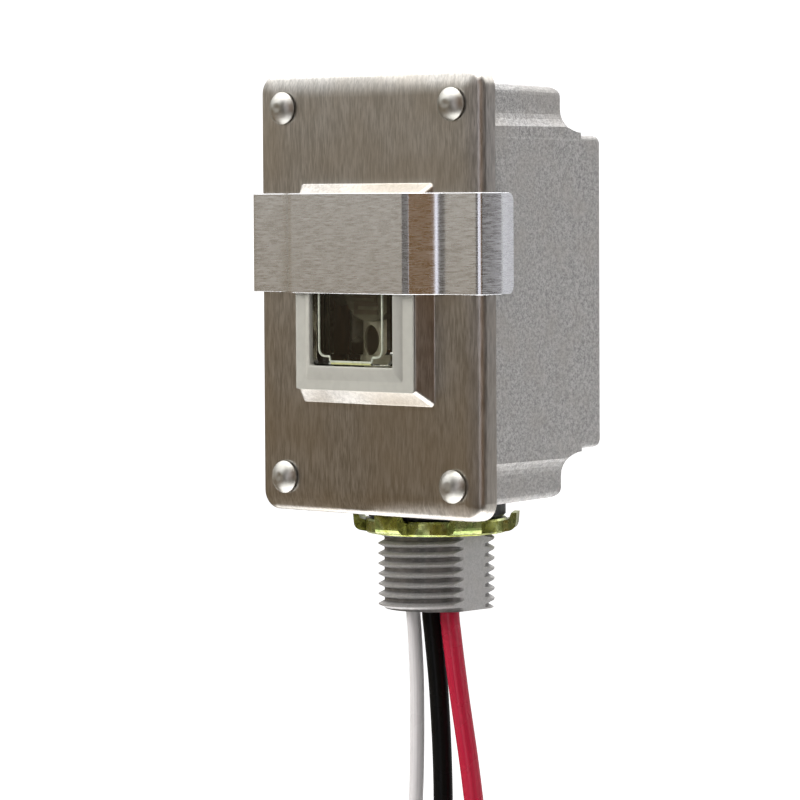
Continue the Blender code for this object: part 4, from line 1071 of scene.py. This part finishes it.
class StudioOperator(bpy.types.Operator):
    """Builds the camera, the lamps, the white sweep and the dim wall that steel mirrors"""

    bl_idname = "photocell.studio"
    bl_label = "Build Studio"

    def execute(self, context):
        settings = context.scene.photocell_studio
        self.set_camera(settings)
        self.lay_sweep(settings)
        self.hang_dim_wall(settings)
        self.set_world(settings)
        for name, spot, size, power in (
            ("overhead_light", (0.1, -0.35, 0.9), 0.9, settings.overhead),
            ("key_light", (-0.92, -0.80, 0.50), 0.5, settings.key),
            ("side_light", (1.0, 0.38, 0.32), 0.7, settings.side),
            ("front_light", (0.15, -1.3, 0.55), 0.7, settings.front),
        ):
            self.hang_light(name, spot, size, power)
        context.scene.view_settings.view_transform = "Standard"
        return {"FINISHED"}

    def set_camera(self, settings):
        data = bpy.data.cameras.new("camera")
        data.lens = settings.lens
        data.sensor_width = 36
        data.clip_start = 0.01
        camera = put("camera", data)
        turn, tilt, roll = settings.camera_turn, settings.camera_tilt, settings.camera_roll
        back = Vector((math.sin(turn) * math.cos(tilt), -math.cos(turn) * math.cos(tilt),
                       math.sin(tilt)))
        right = Vector((math.cos(turn), math.sin(turn), 0))
        up = back.cross(right)
        level, lift = math.cos(roll), math.sin(roll)
        turned = Matrix((right * level + up * lift, up * level - right * lift, back)).transposed()
        camera.matrix_world = Matrix.Translation(settings.camera_place) @ turned.to_4x4()
        bpy.context.scene.camera = camera

    def lay_sweep(self, settings):
        """A floor that curves up into a backdrop all round, dim far off where steel mirrors it."""
        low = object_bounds()[0].z - settings.floor_drop
        reach, level, steps = settings.sweep_reach, 0.62, 8
        profile = [(0.0001, low), (reach * 0.3, low)]
        for i in range(steps + 1):
            angle = QUARTER * i / steps
            profile.append((reach * (level + (1 - level) * math.sin(angle)),
                            low + reach * (1 - level) * (1 - math.cos(angle))))
        bm = bmesh.new()
        rows = skin(bm, [[(radius * c, radius * s, z) for c, s in circle(64)]
                         for radius, z in profile[::-1]])
        for face in bm.faces:
            face.smooth = True
        bm.faces.new(rows[-1])
        s = new_shader("floor_white")
        seen, mirrored = s.rays()
        x, y, _ = s.axes(s.position())
        turn = bearing(x, y)
        near = s.spread(x.maths("SQRT", x * x + y * y), 0.28, 0.19)
        dark = s.spread(turn, -120, -105) * s.spread(turn, 110, 98) * (1 - near)
        glow = s.emission((1, 1, 1), seen * 0.92 + mirrored * (0.30 + near * 2.1))
        dull = s.node("ShaderNodeBsdfDiffuse", None, {"Color": colour(GREY)})
        white = s.node("ShaderNodeAddShader", None, {0: dull, 1: glow})
        dim = s.emission(s.blend(turn, *CORNER, settings.dim_low, settings.dim_corner))
        set_stage("floor", bm, s.end(s.either(mirrored * dark, white, dim)))

    def hang_dim_wall(self, settings):
        """A dim curved wall in front, hidden from the camera, for the brushed steel to mirror."""
        radius, low, high, tall, steps = 0.9, -0.42, 0.46, 1.5, 72
        first, last = WALL_ENDS
        angles = [math.radians(first + (last - first) * i / steps) for i in range(steps + 1)]
        bm = bmesh.new()
        skin(bm, [[(radius * math.sin(angle), -radius * math.cos(angle), z) for angle in angles]
                  for z in (low, tall)], closed=False)
        s = new_shader("dim_wall")
        x, y, height = s.axes(s.position())
        turn = bearing(x, y)
        shade = s.blend(height, -0.06, 0.20, settings.dim_low, settings.dim_high)
        shade = s.blend(height, 0.15, 0.29, shade, (1.0, 1.0, 1.0))
        for start, stop, stretch in (
            (*CORNER, settings.dim_corner), (11, 14, settings.bright_strip),
            (24, 27, settings.brown), (57, 69, settings.dark_side),
            (137, 144, settings.bright_end),
        ):
            shade = s.blend(turn, start, stop, shade, stretch)
        top = s.spread(turn, *CORNER) * s.spread(turn, 132, 124) * (tall - high) + high
        solid = s.spread(height, low, low + 0.12) * s.spread(height, top, top - 0.16)
        solid = solid * s.spread(turn, first, first + 12) * s.spread(turn, last, last - 10)
        clear = s.node("ShaderNodeBsdfTransparent")
        wall = set_stage("dim_wall", bm, s.end(s.either(solid, clear, s.emission(shade))))
        wall.visible_camera = False
        wall.visible_diffuse = False
        wall.visible_shadow = False

    def set_world(self, settings):
        """White to the camera and through glass, brighter overhead in steel, dim as room light."""
        world = bpy.data.worlds.new("studio_air")
        bpy.context.scene.world = world
        s = Shader(world)
        seen, mirrored = s.rays()
        _, _, height = s.axes(s.node("ShaderNodeTexCoord"))
        sky = settings.sky
        overhead = s.spread(height, 0.2, 0.6, 1.0, settings.ceiling)
        strength = sky + seen * (1.0 - sky) + mirrored * (overhead - sky)
        air = s.node("ShaderNodeBackground", None, {"Color": (1, 1, 1, 1), "Strength": strength})
        s.end(air, "ShaderNodeOutputWorld")

    def hang_light(self, name, spot, size, power):
        data = bpy.data.lights.new(name, "AREA")
        data.shape = "SQUARE"
        data.size = size
        data.energy = power
        light = put(name, data)
        light.location = spot
        aim = Vector((0, -0.01, 0.03)) - Vector(spot)
        light.rotation_euler = aim.to_track_quat("-Z", "Y").to_euler()
        light.visible_glossy = name != "key_light"


class LeadsOperator(bpy.types.Operator):
    """Runs the three insulated leads from their terminals down through the nipple"""

    bl_idname = "photocell.leads"
    bl_label = "Run Leads"

    def execute(self, context):
        settings = context.scene.photocell_leads
        finishes = context.scene.photocell_finishes
        tones = {"white": (finishes.white, 0.34, 0.5), "black": (finishes.black, 0.26, 0.10),
                 "red": (finishes.red, 0.26, 0.5)}
        tree = strand_tree()
        copper = dull_finish("bare_copper", *DULL_FINISHES["bare_copper"])
        for name, (diameter, mouth, free) in LEADS.items():
            points = lead_line(mouth, free)
            radius = diameter / 2 * MM
            bundle = radius * settings.core_share
            mesh = insulated_tube(points, radius, bundle + 0.05 * MM, settings.sides)
            lead = new_piece(f"lead_{name}_drawn", mesh, insulation(f"{name}_insulation", *tones[name]))
            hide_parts(f"lead_{name}")
            core = self.core(tree, settings, points, bundle, diameter, copper)
            strands = new_piece(f"strands_{name}", core, copper)
            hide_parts(f"conductor_{name}")
            length = sum((b - a).length for a, b in zip(points, points[1:]))
            place(mouth[0], mouth[1], NIPPLE_MOUTH)
            diameter * MM
        return {"FINISHED"}

    def core(self, tree, settings, points, bundle, diameter, copper):
        """A stranded core: one, six and, in the thicker leads, twelve more strands."""
        layers = 2 if diameter < 3 else 3
        strand = bundle / (2 * layers - 1)
        back = (points[-2] - points[-1]).normalized()
        bm = bmesh.new()
        for layer in range(layers):
            bm.from_mesh(grow(tree, {
                "Strands": max(6 * layer, 3), "Ring": 2 * strand * layer, "Radius": strand * 0.97,
                "Length": settings.stripped + 1.3 * MM, "Twist": settings.twist * TURN,
                "Finish": copper}))
        turn = (-back).to_track_quat("Z", "Y").to_matrix().to_4x4()
        start = Matrix.Translation(points[-1] + back * 1.0 * MM)
        bmesh.ops.transform(bm, matrix=start @ turn, verts=bm.verts)
        return plain_mesh("strands", bm, 50)


class CoverOperator(bpy.types.Operator):
    """Draws the cover from one sheet, with its soft shoulder and raised seat"""

    bl_idname = "photocell.cover"
    bl_label = "Draw Cover"

    def execute(self, context):
        settings = context.scene.photocell_cover
        rivets = context.scene.photocell_rivets
        spots = [(sx * rivets.across / 2, COVER_MIDDLE + sz * rivets.upright / 2)
                 for sx in (-1, 1) for sz in (-1, 1)]
        mesh = drilled(cover_mesh(settings), spots, settings.hole)
        cover = new_piece("cover_drawn", mesh, cover_steel(context.scene.photocell_finishes.steel))
        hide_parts("cover")
        return {"FINISHED"}


class SlideOperator(bpy.types.Operator):
    """Bends the strip that slides over the window"""

    bl_idname = "photocell.slide"
    bl_label = "Bend Slide"

    def execute(self, context):
        steel = slide_steel(context.scene.photocell_finishes.steel)
        slide = new_piece("slide_drawn", slide_mesh(context.scene.photocell_slide), steel, "slide")
        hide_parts("light_level_slide")
        return {"FINISHED"}


class FrameOperator(bpy.types.Operator):
    """Moulds the white frame round the window"""

    bl_idname = "photocell.frame"
    bl_label = "Mould Frame"

    def execute(self, context):
        moulding = context.scene.photocell_finishes.moulding
        white = dull_finish("white_plastic", scaled(moulding, 0.94), moulding, 700, 0.36, 0.01 * MM)
        piece = new_piece("frame_drawn", frame_mesh(context.scene.photocell_frame), white)
        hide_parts("window_frame")
        return {"FINISHED"}


class WindowOperator(bpy.types.Operator):
    """Adds the rib and ledge on the window and the folded track on the cell"""

    bl_idname = "photocell.window"
    bl_label = "Detail Window"

    def execute(self, context):
        settings = context.scene.photocell_window
        top, left, right, low, sunk = 10.9, -7.7, 7.3, -10.9, -11.8
        notch_left, notch_right, wide, tight = -5.1, 4.9, 1.4, 0.3
        corners = [(0, top), (right, top), (right, low), (notch_right, low), (notch_right, sunk),
                   (notch_left, sunk), (notch_left, low), (left, low), (left, top), (0, top)]
        radii = [wide, wide, tight, tight, tight, tight, wide, wide]
        ledge_ends = [Vector((x, -12.08)) for x in (-4.8, 4.6)]
        for name, finish, tone, rough, line, width, closed in (
            ("window_rib", "dull_clear", (0.60, 0.62, 0.50), 0.25,
             rounded_path(corners, radii, 5)[:-1], settings.rib, True),
            ("window_ledge", "yellowed_clear", (0.58, 0.58, 0.26), 0.3, ledge_ends, 0.46 * MM, False),
        ):
            path = [point * MM + Vector((0, COVER_MIDDLE)) for point in line]
            mesh = rib_mesh(name, path, width, settings.stand, closed)
            rib = new_piece(name, mesh, frosted(finish, tone, rough))
        middle = (CELL_LOW + CELL_HIGH) / 2
        thick = 0.08 * MM
        track = new_piece("cell_track", grow(track_tree(), {
            "Bars": settings.bars, "Pitch": settings.pitch, "Bar": settings.bar,
            "Reach": settings.reach, "Thickness": thick,
            "Place": (middle.x - 0.6 * MM, CELL_LOW.y - thick, middle.z),
            "Finish": frosted("track_brown", (0.050, 0.032, 0.018), 0.35)}))
        return {"FINISHED"}


class RivetsOperator(bpy.types.Operator):
    """Sets the four domed rivets in the corners of the cover"""

    bl_idname = "photocell.rivets"
    bl_label = "Set Rivets"

    def execute(self, context):
        settings = context.scene.photocell_rivets
        pattern = put("rivet_pattern", rivet_mesh(settings))
        mesh = grow(rivet_tree(), {"Rivet": pattern, "Across": settings.across,
                                   "Upright": settings.upright, "Seed": settings.seed,
                                   "Finish": rivet_metal()})
        bpy.data.objects.remove(pattern)
        rivets = new_piece("rivets", mesh)
        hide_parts("rivet_top_left", "rivet_top_right", "rivet_bottom_left", "rivet_bottom_right")
        return {"FINISHED"}


class FinishOperator(bpy.types.Operator):
    """Gives every CAD part that stays its procedural finish"""

    bl_idname = "photocell.finishes"
    bl_label = "Apply Finishes"

    def execute(self, context):
        settings = context.scene.photocell_finishes
        finishes = {name: dull_finish(name, *values) for name, values in DULL_FINISHES.items()}
        finishes["cast_metal"] = cast_metal(settings.casting)
        finishes["yellow_zinc"] = yellow_zinc(settings.chromate)
        finishes["clear_plastic"] = clear_plastic()
        for name, obj in NODES.items():
            if obj.hide_render:
                continue
            slot = obj.material_slots[0]
            wanted = slot.material.name.split(".")[0]
            if wanted not in finishes:
                raise RuntimeError(f"{name} has the slot {wanted}, which has no finish")
            slot.material = finishes["dull_tin" if name == "cell_shield" else wanted]
        return {"FINISHED"}


STEPS = (
    ("photocell_studio", StudioSettings, StudioOperator),
    ("photocell_leads", LeadSettings, LeadsOperator),
    ("photocell_cover", CoverSettings, CoverOperator),
    ("photocell_slide", SlideSettings, SlideOperator),
    ("photocell_frame", FrameSettings, FrameOperator),
    ("photocell_window", WindowSettings, WindowOperator),
    ("photocell_rivets", RivetSettings, RivetsOperator),
    ("photocell_finishes", FinishSettings, FinishOperator),
)


class PhotocellPanel(bpy.types.Panel):
    """Lists the switch's operators and their settings"""

    bl_label = "Photocell Switch"
    bl_idname = "VIEW3D_PT_photocell"
    bl_space_type = "VIEW_3D"
    bl_region_type = "UI"
    bl_category = "Photocell"

    def draw(self, context):
        for name, group, operator in STEPS:
            box = self.layout.box()
            box.operator(operator.bl_idname)
            for setting in group.__annotations__:
                box.prop(getattr(context.scene, name), setting)


def register():
    for name, group, operator in STEPS:
        bpy.utils.register_class(group)
        setattr(bpy.types.Scene, name, bpy.props.PointerProperty(type=group))
        bpy.utils.register_class(operator)
    bpy.utils.register_class(PhotocellPanel)


def unregister():
    bpy.utils.unregister_class(PhotocellPanel)
    for name, group, operator in reversed(STEPS):
        bpy.utils.unregister_class(operator)
        delattr(bpy.types.Scene, name)
        bpy.utils.unregister_class(group)


def main():
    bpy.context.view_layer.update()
    register()
    bpy.ops.photocell.studio()
    bpy.ops.photocell.leads()
    bpy.ops.photocell.cover()
    bpy.ops.photocell.slide()
    bpy.ops.photocell.frame()
    bpy.ops.photocell.window()
    bpy.ops.photocell.rivets()
    bpy.ops.photocell.finishes()


if __name__ == "__main__":
    main()
